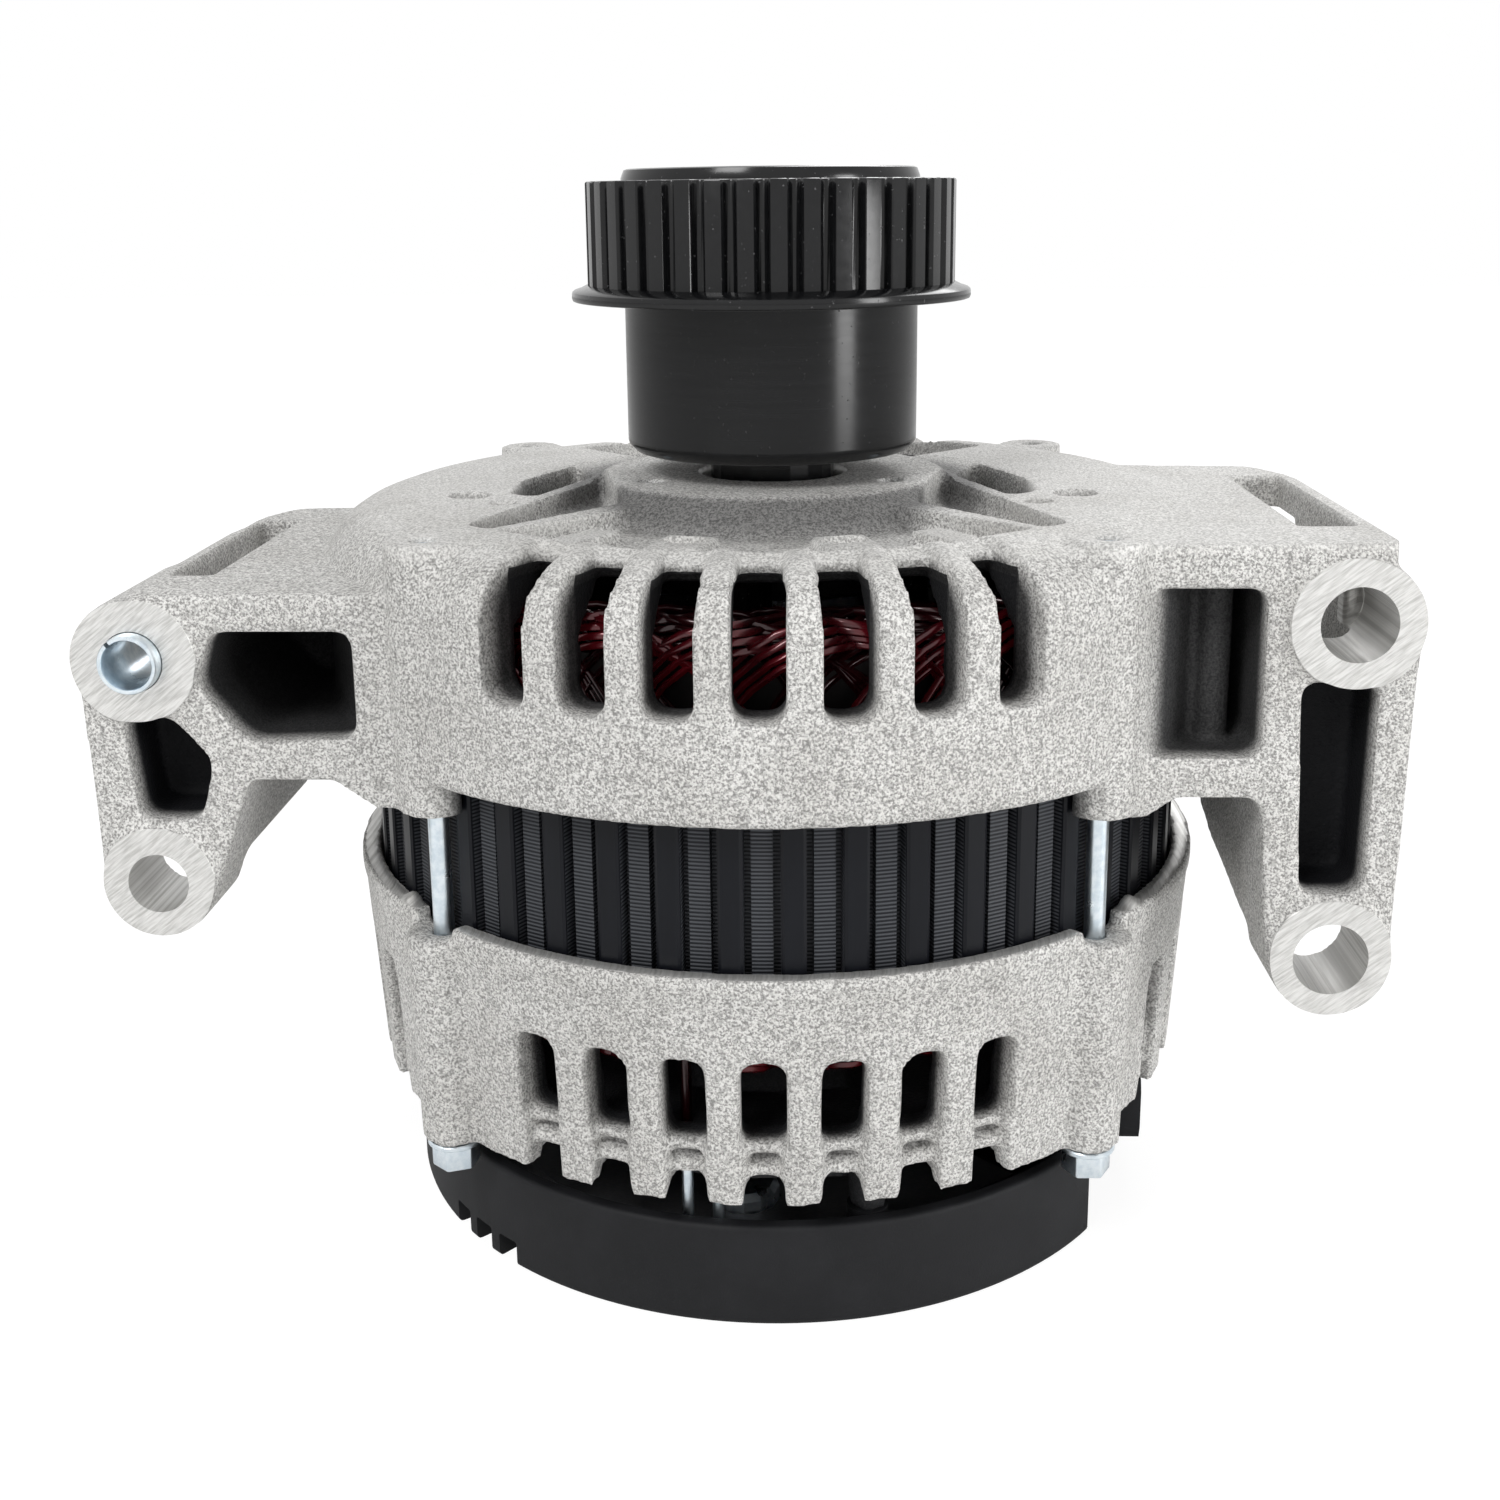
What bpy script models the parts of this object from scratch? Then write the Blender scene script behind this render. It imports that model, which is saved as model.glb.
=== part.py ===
# Vehicle alternator standing on its rear cover, drive end up
# Metres, +Z along the shaft towards the pulley, origin on the shaft axis at the cover's flat underside

import bmesh
import bpy
from math import atan2, cos, pi, radians, sin, sqrt
from mathutils import Matrix, Vector

mm = 0.001

# Clearances
seat_gap = 0.3 * mm

# Stator
stator_low = 57.0 * mm
stator_length = 37.0 * mm
stator_radius = 72.5 * mm
stator_depth = 20.5 * mm
stator_slots = 36
stator_lands = 48
slot_width = 3.6 * mm
back_iron = 6.5 * mm
land_width = 3.8 * mm
band_drop = 1.2 * mm
crown_clearance = 2.2 * mm
crown_wall = 13.6 * mm
crown_to_plate = 2.7 * mm
crown_to_floor = 9.2 * mm
phase_lead_radius = 0.9 * mm
phase_lead_inset = 8.9 * mm
phase_lead_angles = (-101.5, -97.0)

# Slip ring end bracket
rear_wall_low = 28.0 * mm
rear_wall = 5.5 * mm
rear_foot_drop = 3.4 * mm
rear_taper = 2.6 * mm
rear_finger = 4.1 * mm
rear_rim_wall = 3.4 * mm
rear_seat_depth = 6.3 * mm
rear_step_drop = 3.3 * mm
rear_window_rise = 0.3 * mm
rear_window_drop = 14.3 * mm
rear_window_width = 6.3 * mm
rear_pad_drop = 2.3 * mm

# Rear cover
cover_inset = 8.2 * mm
cover_wall = 2.2 * mm
cover_gap = 10.5 * mm
cover_flat_inset = 13.2 * mm
cover_louvre_height = 4.5 * mm
cover_louvre_width = 4.6 * mm
cover_louvre_fin = 2.2 * mm
cover_screw_inset = 5.8 * mm
cover_screw_radius = 1.5 * mm
cover_screw_head = 4.6 * mm
cover_boss_radius = 3.3 * mm

# Drive end bracket
front_seat_depth = 6.4 * mm
front_wall = 6.1 * mm
front_height = 37.7 * mm
plate_wall = 5.3 * mm
shoulder_width = 15.0 * mm
shoulder_height = 10.0 * mm
chamber_step = 2.7 * mm
hub_radius = 30.3 * mm
hub_rise = 2.2 * mm
hub_flare = 3.2 * mm
hub_bore = 13.0 * mm
front_window_rise = 18.4 * mm
front_window_drop = 1.3 * mm
front_window_width = 6.4 * mm
window_pitch = 9.6
windows_per_side = 7
recess_depth = 3.5 * mm
recess_flare = 3.5 * mm
recess_inset = 18.4 * mm
spoke_width = 7.0 * mm
groove_floor = 3.8 * mm
vent_hole_radius = 3.7 * mm
small_hole_radius = 2.3 * mm

# Through bolts
bolt_clearance = 1.2 * mm
bolt_radius = 1.7 * mm
bolt_head_width = 7.0 * mm
bolt_head_height = 5.0 * mm
bolt_boss_radius = 6.2 * mm
front_boss_drop = 6.0 * mm
bolt_tip_drop = 1.2 * mm

# Mounting arms, their bosses set outside the body and from the skirt's lower edge
arm_step = 1.386 * mm
boss_face_rise = 0.8 * mm
boss_face_step = 0.3 * mm
panel_step = 0.3 * mm
right_upper_reach, right_upper_rise = 10.9 * mm, 24.1 * mm
right_lower_reach, right_lower_rise = 10.0 * mm, -30.1 * mm
left_upper_reach, left_upper_rise = 19.5 * mm, 18.4 * mm
left_lower_reach, left_lower_rise = 18.5 * mm, -18.3 * mm
right_upper_radius = 10.3 * mm
right_lower_radius = 9.7 * mm
left_upper_radius = 10.0 * mm
left_lower_radius = 9.2 * mm
right_bore = 5.9 * mm
left_bore = 4.9 * mm
boss_length = 14.6 * mm
right_arm_drop = 1.3 * mm
left_arm_drop = 8.8 * mm
arm_plate = 6.0 * mm
arm_rib = 5.6 * mm
right_floor_drop = 3.7 * mm
left_floor_drop = 1.3 * mm
arm_back = 25.0 * mm
leg_back = -4.0 * mm
pocket_radius = 2.2 * mm
pocket_column_radius = 3.0 * mm
sleeve_wall = 0.85 * mm
sleeve_length = 17.0 * mm
sleeve_rise = 3.0 * mm
sleeve_slot = 0.7 * mm

# Front bearing and its retainer
front_journal = 8.5 * mm
front_bearing_radius = 19.7 * mm
front_bearing_width = 12.0 * mm
front_bearing_drop = 15.3 * mm
front_race = 2.4 * mm
bearing_boss_wall = 9.5 * mm
retainer_thickness = 2.2 * mm
retainer_bore = 13.2 * mm
retainer_screw_inset = 4.3 * mm
retainer_screw_radius = 1.9 * mm
retainer_screws = 3
screw_head_width = 6.4 * mm

# Rear bearing
rear_journal = 7.5 * mm
rear_bearing_radius = 17.2 * mm
rear_bearing_width = 11.0 * mm
rear_bearing_rise = 4.0 * mm
rear_race = 2.2 * mm
rear_boss_wall = 4.0 * mm
bearing_balls = 7

# Rotor
shaft_low = 6.0 * mm
shaft_in_pulley = 28.3 * mm
shaft_shoulder = 11.0 * mm
ring_stub = 4.5 * mm
air_gap = 0.6 * mm
pole_disc = 10.0 * mm
claw_depth = 11.4 * mm
coil_clearance = 5.0 * mm
claws_per_pole = 6
claw_root_angle = 33.0
claw_tip_angle = 14.0
claw_root_thickness = 12.0 * mm
claw_tip_thickness = 4.0 * mm
claw_tip_gap = 3.5 * mm
coil_core_step = 3.75 * mm
fan_plate = 1.5 * mm
fan_clearance = 1.0 * mm
fan_blade_length = 17.4 * mm
fan_below_crown = 3.0 * mm
rear_fan_height = 9.5 * mm
fan_blades = 8
fan_blade_wall = 1.4 * mm

# Slip rings and brushes
carrier_radius = 7.6 * mm
carrier_low = 7.0 * mm
slip_ring_radius = 8.2 * mm
slip_ring_width = 5.0 * mm
slip_ring_lows = (9.0 * mm, 17.4 * mm)
brush_width = 5.0 * mm
brush_height = 4.4 * mm
brush_length = 14.0 * mm
brush_pocket = 9.6 * mm
brush_travel = 5.5 * mm
holder_wall = 1.8 * mm
spring_radius = 1.25 * mm
spring_wire = 0.25 * mm
spring_turns = 4

# Freewheel pulley
pulley_gap = 4.2 * mm
pulley_body_radius = 25.7 * mm
pulley_body_length = 26.2 * mm
pulley_body_chamfer = 1.5 * mm
pulley_wall = 6.4 * mm
flange_reach = 2.8 * mm
flange_thickness = 2.2 * mm
tooth_reach = 6.4 * mm
teeth_length = 18.0 * mm
tooth_count = 38
tooth_gap_width = 2.0 * mm
tooth_gap_depth = 1.8 * mm
pulley_lip_rise = 2.0 * mm
clutch_depth = 5.1 * mm
cap_seat = 2.9 * mm
cap_thickness = 3.4 * mm
clutch_rollers = 8
bush_length = 4.0 * mm

# Rectifier, regulator and terminals
plate_width = 34.0 * mm
plate_inset = 10.0 * mm
heat_sink_thickness = 3.0 * mm
positive_plate_low = 8.0 * mm
negative_plate_low = 20.0 * mm
rectifier_opening = 44.0
diode_radius = 5.8 * mm
diode_height = 8.4 * mm
diode_inset = 10.0 * mm
rectifier_screw_inset = 9.0 * mm
rectifier_screw_radius = 1.9 * mm
rectifier_screw_angles = (62.0, 180.0, 298.0)
rectifier_post_radius = 4.6 * mm
regulator_low = 5.0 * mm
regulator_high = 20.0 * mm
regulator_depth = 17.3 * mm
regulator_half_width = 19.0 * mm
socket_length = 12.2 * mm
socket_low = 5.6 * mm
socket_high = 18.6 * mm
socket_near = -20.0 * mm
socket_far = 4.0 * mm
socket_wall = 1.8 * mm
stud_radius = 4.0 * mm
stud_beyond = 9.0 * mm
stud_block = 8.0 * mm
stud_offset = -12.0 * mm
nut_radius = 7.0 * mm
nut_height = 6.0 * mm

# Radii that follow from the driving dimensions
stator_bore = stator_radius - stator_depth
slot_bottom = stator_radius - back_iron
crown_bore = stator_bore + crown_clearance
crown_radius = crown_bore + crown_wall
phase_lead_circle = stator_radius - phase_lead_inset
rear_radius = stator_radius + seat_gap + rear_rim_wall
rear_foot_radius = rear_radius - rear_taper
rear_ring_radius = rear_foot_radius - rear_finger
cover_radius = rear_radius - cover_inset
cover_flat = cover_radius - cover_flat_inset
cover_screw_circle = cover_radius - cover_screw_inset
front_radius = stator_radius + seat_gap + front_wall
chamber_radius = stator_radius - chamber_step
recess_outer = front_radius - recess_inset
recess_foot = hub_radius + hub_flare + recess_flare
bolt_circle = stator_radius + bolt_clearance
boss_x = bolt_circle / sqrt(2)
front_pocket = front_bearing_radius + seat_gap
rear_pocket = rear_bearing_radius + seat_gap
retainer_screw_circle = front_bearing_radius + retainer_screw_inset
pole_radius = stator_bore - air_gap
pole_core_radius = pole_radius - claw_depth
coil_radius = pole_core_radius - coil_clearance
coil_core = (front_journal + coil_radius) / 2 - coil_core_step
fan_radius = pole_radius - fan_clearance
fan_eye = fan_radius - fan_blade_length
teeth_radius = pulley_body_radius + tooth_reach
flange_radius = teeth_radius + flange_reach
pulley_lip_radius = pulley_body_radius + 0.2 * mm
pulley_bore = pulley_body_radius - pulley_wall
pulley_hub_radius = pulley_bore - clutch_depth
cap_radius = pulley_bore + cap_seat
plate_outer = cover_radius - plate_inset
plate_inner = plate_outer - plate_width
rectifier_screw_circle = plate_inner + rectifier_screw_inset
diode_circle = plate_outer - diode_inset
holder_front = slip_ring_radius + 2 * seat_gap
holder_back = cover_flat - cover_wall - seat_gap - regulator_depth
socket_reach = cover_flat + socket_length
stud_reach = cover_radius + stud_beyond

# Heights that follow from the driving dimensions
stator_high = stator_low + stator_length
seat_low = stator_low - seat_gap
seat_high = stator_high + seat_gap
rim_top = stator_low + rear_seat_depth
rear_floor = rear_wall_low + rear_wall
rear_foot_low = rear_wall_low - rear_foot_drop
rear_window_low = rear_floor + rear_window_rise
rear_window_high = rim_top - rear_window_drop
rear_bearing_low = rear_wall_low + rear_bearing_rise
rear_bearing_high = rear_bearing_low + rear_bearing_width
rear_crown_height = seat_low - rear_floor - crown_to_floor
cover_height = rear_wall_low - cover_gap
carrier_high = rear_wall_low - 0.8 * mm
skirt_low = stator_high - front_seat_depth
plate_top = skirt_low + front_height
plate_under = plate_top - plate_wall
hub_top = plate_top + hub_rise
front_window_low = skirt_low + front_window_rise
front_bearing_low = plate_top - front_bearing_drop
front_bearing_high = front_bearing_low + front_bearing_width
front_crown_height = plate_under - crown_to_plate - seat_high
front_fan_height = front_crown_height - fan_below_crown
pulley_low = hub_top + pulley_gap
flange_low = pulley_low + pulley_body_length
flange_high = flange_low + flange_thickness
teeth_high = flange_high + teeth_length
pulley_top = teeth_high + pulley_lip_rise
cap_low = pulley_top - cap_thickness - seat_gap
shaft_high = pulley_low + shaft_in_pulley

# Places of the mounting arms
arm_front = -boss_x - arm_step
boss_face = arm_front - boss_face_rise
right_upper_boss = (front_radius + right_upper_reach, skirt_low + right_upper_rise)
right_lower_boss = (front_radius + right_lower_reach, skirt_low + right_lower_rise)
left_upper_boss = (-front_radius - left_upper_reach, skirt_low + left_upper_rise)
left_lower_boss = (-front_radius - left_lower_reach, skirt_low + left_lower_rise)
right_arm_top = plate_top - right_arm_drop
left_arm_top = plate_top - left_arm_drop
right_arm_floor = skirt_low - right_floor_drop
left_arm_floor = skirt_low - left_floor_drop

for leftover in list(bpy.data.objects):
    bpy.data.objects.remove(leftover)

scene = bpy.context.scene
parts = bpy.data.collections.new("vehicle_alternator")
cutters = bpy.data.collections.new("cutters")
scene.collection.children.link(parts)
scene.collection.children.link(cutters)


# Materials

def finish(name, colour, metallic, roughness):
    material = bpy.data.materials.new(name)
    material.use_nodes = True
    shader = material.node_tree.nodes["Principled BSDF"]
    shader.inputs["Base Color"].default_value = (*colour, 1.0)
    shader.inputs["Metallic"].default_value = metallic
    shader.inputs["Roughness"].default_value = roughness
    return material


cast_aluminium = finish("cast_aluminium", (0.58, 0.57, 0.55), 0.6, 0.55)
black_steel = finish("black_steel", (0.012, 0.012, 0.014), 0.7, 0.28)
black_plastic = finish("black_plastic", (0.022, 0.023, 0.026), 0.0, 0.62)
lamination_steel = finish("lamination_steel", (0.03, 0.034, 0.045), 0.6, 0.4)
enamelled_wire = finish("enamelled_wire", (0.20, 0.012, 0.016), 0.3, 0.25)
zinc_steel = finish("zinc_steel", (0.66, 0.72, 0.76), 0.9, 0.28)
bright_steel = finish("bright_steel", (0.55, 0.55, 0.56), 1.0, 0.25)
forged_iron = finish("forged_iron", (0.10, 0.10, 0.11), 0.8, 0.5)
copper = finish("copper", (0.72, 0.33, 0.18), 1.0, 0.3)
carbon = finish("carbon", (0.04, 0.04, 0.04), 0.1, 0.7)
sheet_aluminium = finish("sheet_aluminium", (0.62, 0.62, 0.63), 0.9, 0.4)


# A small twist that keeps the corners of rods and holes off the facets of what they meet
rod_twist = radians(7.3)

# Quarter turns, written out so that flat faces stay exactly flat
stand_up = Matrix(((1, 0, 0, 0), (0, 0, -1, 0), (0, 1, 0, 0), (0, 0, 0, 1)))
lay_back = Matrix(((1, 0, 0, 0), (0, 0, 1, 0), (0, -1, 0, 0), (0, 0, 0, 1)))
face_left = Matrix(((0, -1, 0, 0), (1, 0, 0, 0), (0, 0, 1, 0), (0, 0, 0, 1)))


# Building blocks

def placed(name, mesh, collection):
    item = bpy.data.objects.new(name, mesh)
    collection.objects.link(item)
    return item


def sub_part(name, mesh, material, parent=None):
    item = placed(name, mesh, parts)
    mesh.materials.clear()
    mesh.materials.append(material)
    if len(mesh.polygons):
        mesh.shade_smooth()
        mesh.set_sharp_from_angle(angle=radians(32))
    item.parent = parent
    return item


def shape_tool(name, mesh):
    item = placed(name, mesh, cutters)
    item.hide_render = True
    item.display_type = "WIRE"
    return item


def boolean(target, mesh, operation, name):
    step = target.modifiers.new(name, "BOOLEAN")
    step.operation = operation
    step.solver = "EXACT"
    step.object = shape_tool(target.name + "_" + name, mesh)
    return step.object


def cut(target, mesh, name):
    return boolean(target, mesh, "DIFFERENCE", name)


def join(target, mesh, name):
    return boolean(target, mesh, "UNION", name)


def from_shape(name, shape):
    mesh = bpy.data.meshes.new(name)
    shape.to_mesh(mesh)
    shape.free()
    return mesh


def box(x_range, y_range, z_range):
    shape = bmesh.new()
    bmesh.ops.create_cube(shape, size=1.0)
    ranges = (x_range, y_range, z_range)
    bmesh.ops.scale(shape, verts=shape.verts, vec=[high - low for low, high in ranges])
    bmesh.ops.translate(shape, verts=shape.verts, vec=[(low + high) / 2 for low, high in ranges])
    return from_shape("box", shape)


def rod(radius, low, high, sides=24, high_radius=None):
    shape = bmesh.new()
    end_radius = radius if high_radius is None else high_radius
    bmesh.ops.create_cone(
        shape, cap_ends=True, segments=sides, radius1=radius, radius2=end_radius, depth=high - low)
    bmesh.ops.translate(shape, verts=shape.verts, vec=(0, 0, (low + high) / 2))
    bmesh.ops.rotate(shape, verts=shape.verts, matrix=Matrix.Rotation(rod_twist, 3, "Z"))
    return from_shape("rod", shape)


def moved(mesh, x=0.0, y=0.0, z=0.0):
    mesh.transform(Matrix.Translation((x, y, z)))
    return mesh


def turned_about_z(mesh, degrees):
    mesh.transform(Matrix.Rotation(radians(degrees), 4, "Z"))
    return mesh


def laid_along_y(mesh, front):
    # A rod made from zero upwards points to +Y from the plane y = front
    mesh.transform(Matrix.Translation((0, front, 0)) @ lay_back)
    return mesh


def gathered(meshes):
    shape = bmesh.new()
    for mesh in meshes:
        shape.from_mesh(mesh)
        bpy.data.meshes.remove(mesh)
    return from_shape("gathered", shape)


def turned(name, profile, steps):
    # A profile in the XZ plane that runs down its outer side, spun into a closed solid
    mesh = bpy.data.meshes.new(name)
    edges = [(i, i + 1) for i in range(len(profile) - 1)]
    if profile[0][0] > 0:
        edges.append((len(profile) - 1, 0))
    mesh.from_pydata([(radius, 0, height) for radius, height in profile], edges, [])
    maker = placed(name + "_profile", mesh, cutters)
    spin = maker.modifiers.new("spin", "SCREW")
    spin.angle = 2 * pi
    spin.axis = "Z"
    spin.steps = steps
    spin.render_steps = steps
    spin.use_merge_vertices = True
    spin.merge_threshold = 0.00001
    return settled(maker)


def settled(maker):
    bpy.context.view_layer.update()
    depsgraph = bpy.context.evaluated_depsgraph_get()
    mesh = bpy.data.meshes.new_from_object(maker.evaluated_get(depsgraph))
    bpy.data.objects.remove(maker)
    shape = bmesh.new()
    shape.from_mesh(mesh)
    bpy.data.meshes.remove(mesh)
    bmesh.ops.remove_doubles(shape, verts=shape.verts, dist=0.000002)
    return from_shape("settled", shape)


def prism(loops, low, high):
    # Flat closed outlines in the XY plane, filled and given their thickness along Z
    curve = bpy.data.curves.new("outline", "CURVE")
    curve.dimensions = "2D"
    curve.fill_mode = "BOTH"
    curve.extrude = (high - low) / 2
    for loop in loops:
        spline = curve.splines.new("POLY")
        spline.points.add(len(loop) - 1)
        for point, (x, y) in zip(spline.points, loop):
            point.co = (x, y, 0, 1)
        spline.use_cyclic_u = True
    mesh = moved(settled(placed("outline", curve, cutters)), z=(low + high) / 2)
    return with_plain_caps(mesh) if len(loops) == 1 else mesh


def with_plain_caps(mesh):
    # One face for each flat end in place of the fill's triangles
    shape = bmesh.new()
    shape.from_mesh(mesh)
    bpy.data.meshes.remove(mesh)
    caps = [edge for edge in shape.edges
            if all(abs(face.normal.z) > 0.99 for face in edge.link_faces)]
    bmesh.ops.dissolve_edges(shape, edges=caps, use_verts=False)
    return from_shape("prism", shape)


def upright(loops, front, back):
    # Outlines given as x and z, with their thickness from y = front to y = back
    mesh = prism(loops, -back, -front)
    mesh.transform(stand_up)
    return mesh


def radial(loop, width, degrees):
    # An outline given as radius and height, with its width across the radius at that angle
    return turned_about_z(upright([loop], -width / 2, width / 2), degrees)


def arc(centre, radius, start, end, steps):
    points = []
    for i in range(steps + 1):
        angle = radians(start + (end - start) * i / steps)
        points.append((centre[0] + radius * cos(angle), centre[1] + radius * sin(angle)))
    return points


def circle(centre, radius, sides):
    return arc(centre, radius, 0.0, 360.0 * (sides - 1) / sides, sides - 1)


def rounded(corners, radius, steps=2):
    # A closed polygon whose corners are rounded, less where its sides are short
    points = []
    count = len(corners)
    for i in range(count):
        corner = Vector(corners[i])
        before = Vector(corners[i - 1]) - corner
        after = Vector(corners[(i + 1) % count]) - corner
        reach = min(radius, before.length * 0.4, after.length * 0.4)
        start = corner + before.normalized() * reach
        end = corner + after.normalized() * reach
        for j in range(steps + 1):
            t = j / steps
            bent = start * (1 - t) ** 2 + corner * 2 * t * (1 - t) + end * t ** 2
            points.append((bent.x, bent.y))
    return points


def mirrored(loop):
    return [(-x, y) for x, y in reversed(loop)]


def polar(radius, degrees):
    return radius * cos(radians(degrees)), radius * sin(radians(degrees))


def bolt_places():
    return [(x * boss_x, y * boss_x) for x, y in ((-1, -1), (1, -1), (1, 1), (-1, 1))]


def window_angles(middle):
    first = -(windows_per_side - 1) / 2
    return [middle + (first + i) * window_pitch for i in range(windows_per_side)]


# Drive end bracket

def bracket_dome():
    profile = [(0.0, hub_top), (hub_radius, hub_top), (hub_radius + hub_flare, plate_top)]
    flat_end = front_radius - shoulder_width
    for i in range(6):
        angle = pi / 2 * i / 5
        radius = flat_end + shoulder_width * sin(angle)
        profile.append((radius, plate_top - shoulder_height * (1 - cos(angle))))
    profile += [(front_radius, skirt_low), (0.0, skirt_low)]
    return turned("dome", profile, 40)


def bracket_chamber():
    boss_radius = front_pocket + bearing_boss_wall
    corner = 7.0 * mm
    return turned("chamber", [
        (0.0, hub_top + 1 * mm), (hub_bore, hub_top + 1 * mm),
        (hub_bore, front_bearing_high + seat_gap), (front_pocket, front_bearing_high + seat_gap),
        (front_pocket, front_bearing_low), (boss_radius, front_bearing_low),
        (boss_radius, plate_under), (chamber_radius - corner, plate_under),
        (chamber_radius, plate_under - corner), (chamber_radius, seat_high),
        (stator_radius + seat_gap, seat_high),
        (stator_radius + seat_gap, skirt_low - 3 * front_boss_drop), (0.0, skirt_low - 3 * front_boss_drop)], 40)


def right_arm_outline():
    upper, lower = right_upper_boss, right_lower_boss
    inside = stator_radius * 0.72
    inner_edge = lower[0] - right_lower_radius - 0.8 * mm
    top = right_arm_top - panel_step
    return ([(inside, top), (upper[0] - 0.3 * right_upper_radius, top)]
            + arc(upper, right_upper_radius, 62, -20, 5)
            + arc(lower, right_lower_radius, 12, -180, 9)
            + [(inner_edge, lower[1] + 5 * mm), (inner_edge - 1.4 * mm, right_arm_floor - 2 * mm),
               (inner_edge - 3.2 * mm, right_arm_floor), (boss_x + 11.8 * mm, right_arm_floor),
               (boss_x + 7.2 * mm, skirt_low - front_boss_drop - 1 * mm),
               (inside, skirt_low - front_boss_drop - 1 * mm)])


def right_pockets():
    wall_left = boss_x + 6.7 * mm
    divider = right_lower_boss[0] - right_lower_radius - 2.8 * mm
    roof = right_arm_top - arm_plate - 1 * mm
    near_body = rounded([
        (wall_left, right_arm_floor + arm_rib + 0.8 * mm), (divider, right_arm_floor + arm_rib + 0.8 * mm),
        (divider - 0.2 * mm, roof), (wall_left - 0.4 * mm, roof)], pocket_radius)
    outer_top = right_upper_boss[1] - right_upper_radius + 1 * mm
    outer_low = right_lower_boss[1] + right_lower_radius + 0.8 * mm
    outer = rounded([
        (divider + arm_rib + 1.6 * mm, outer_low), (right_lower_boss[0] + 4.4 * mm, outer_low),
        (right_lower_boss[0] + 4.9 * mm, outer_top), (divider + arm_rib, outer_top)], pocket_radius)
    return near_body, outer


def left_arm_outline():
    upper, lower = left_upper_boss, left_lower_boss
    inside = -stator_radius * 0.72
    top = left_arm_top - panel_step
    return ([(inside, top), (inside, left_arm_floor - 4.5 * mm),
             (-boss_x - 9.6 * mm, left_arm_floor - 4.5 * mm), (-boss_x - 16 * mm, left_arm_floor),
             (lower[0] + 16.2 * mm, left_arm_floor), (lower[0] + 15.2 * mm, left_arm_floor - 1.5 * mm),
             (lower[0] + 10.1 * mm, lower[1] + 0.8 * mm)]
            + arc(lower, left_lower_radius, -10, -192, 9)
            + arc(upper, left_upper_radius, 206, 96, 6)
            + [(upper[0] + 4.5 * mm, top)])


def left_pockets():
    upper, lower = left_upper_boss, left_lower_boss
    roof = left_arm_top - arm_plate
    near_body = rounded([
        (-boss_x - 12 * mm, left_arm_floor + 7 * mm), (-boss_x - 12 * mm, roof),
        (upper[0] + 12.2 * mm, roof), (upper[0] + 9.6 * mm, upper[1] - 4.4 * mm),
        (lower[0] + 16 * mm, left_arm_floor + 6.4 * mm)], pocket_radius)
    outer_low = lower[1] + left_lower_radius + 1.2 * mm
    outer = rounded([
        (lower[0] - 2.2 * mm, outer_low), (upper[0] - 2.8 * mm, upper[1] - left_upper_radius + 0.6 * mm),
        (upper[0] + 4.4 * mm, upper[1] - left_upper_radius + 1.2 * mm),
        (lower[0] + 10.2 * mm, left_arm_floor + 3.4 * mm), (lower[0] + 7.6 * mm, outer_low)], pocket_radius)
    return near_body, outer


def side_profile_cutter(x_range, boss_bottom, back_height, roof):
    # Removes what lies below and behind a leg, seen from its side as y and z
    behind_boss = arm_front + boss_length
    loop = [(behind_boss, boss_bottom - 30 * mm), (behind_boss, boss_bottom), (leg_back, back_height),
            (leg_back + 4 * mm, roof + 1 * mm), (arm_back + 30 * mm, roof + 1 * mm),
            (arm_back + 30 * mm, boss_bottom - 30 * mm)]
    mesh = upright([loop], -x_range[1], -x_range[0])
    mesh.transform(face_left)
    return mesh


def left_nut_room(roof, back_end):
    # Clears the space behind the left bosses, so that a bolt can leave both of their bores
    outside = left_upper_boss[0] - 2 * left_upper_radius
    inside = left_lower_boss[0] + left_bore + 2.5 * mm
    near, far = arm_front + boss_length + 0.2 * mm, back_end + 5 * mm
    low, middle = left_lower_boss[1] - 30 * mm, left_arm_floor + 1.7 * mm
    loop = [(near, low), (near, roof - 0.5 * mm), (near + 15 * mm, roof - 0.5 * mm), (near + 15 * mm, middle),
            (far, middle), (far, low)]
    mesh = upright([loop], -inside, -outside)
    mesh.transform(face_left)
    return mesh


def top_panel(reach, corner, z_low, z_high, side):
    # The arm's top plate, from the dome out to the bosses and back past the shaft
    near = arm_front + panel_step
    loop = rounded([
        (40 * mm, near), (reach, near), (reach, arm_back - corner), (reach - corner * 0.4, arm_back),
        (front_radius * 0.86, arm_back + 2 * mm), (40 * mm, arm_back + 10 * mm)], 3 * mm)
    return prism([loop if side > 0 else mirrored(loop)], z_low, z_high)


def bored(centre, radius, start, end, sides=18):
    return moved(laid_along_y(rod(radius, 0.0, end - start, sides), start), x=centre[0], z=centre[1])


def window_cutters():
    roof = plate_top - front_window_drop
    deep = chamber_radius - 5 * mm
    over = front_radius + 6 * mm
    loop = [(deep, front_window_low), (over, front_window_low), (over, roof), (deep + 1 * mm, roof),
            (deep, roof - 1 * mm)]
    angles = window_angles(-90.0) + window_angles(90.0)
    return gathered([radial(loop, front_window_width, angle) for angle in angles])


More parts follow.
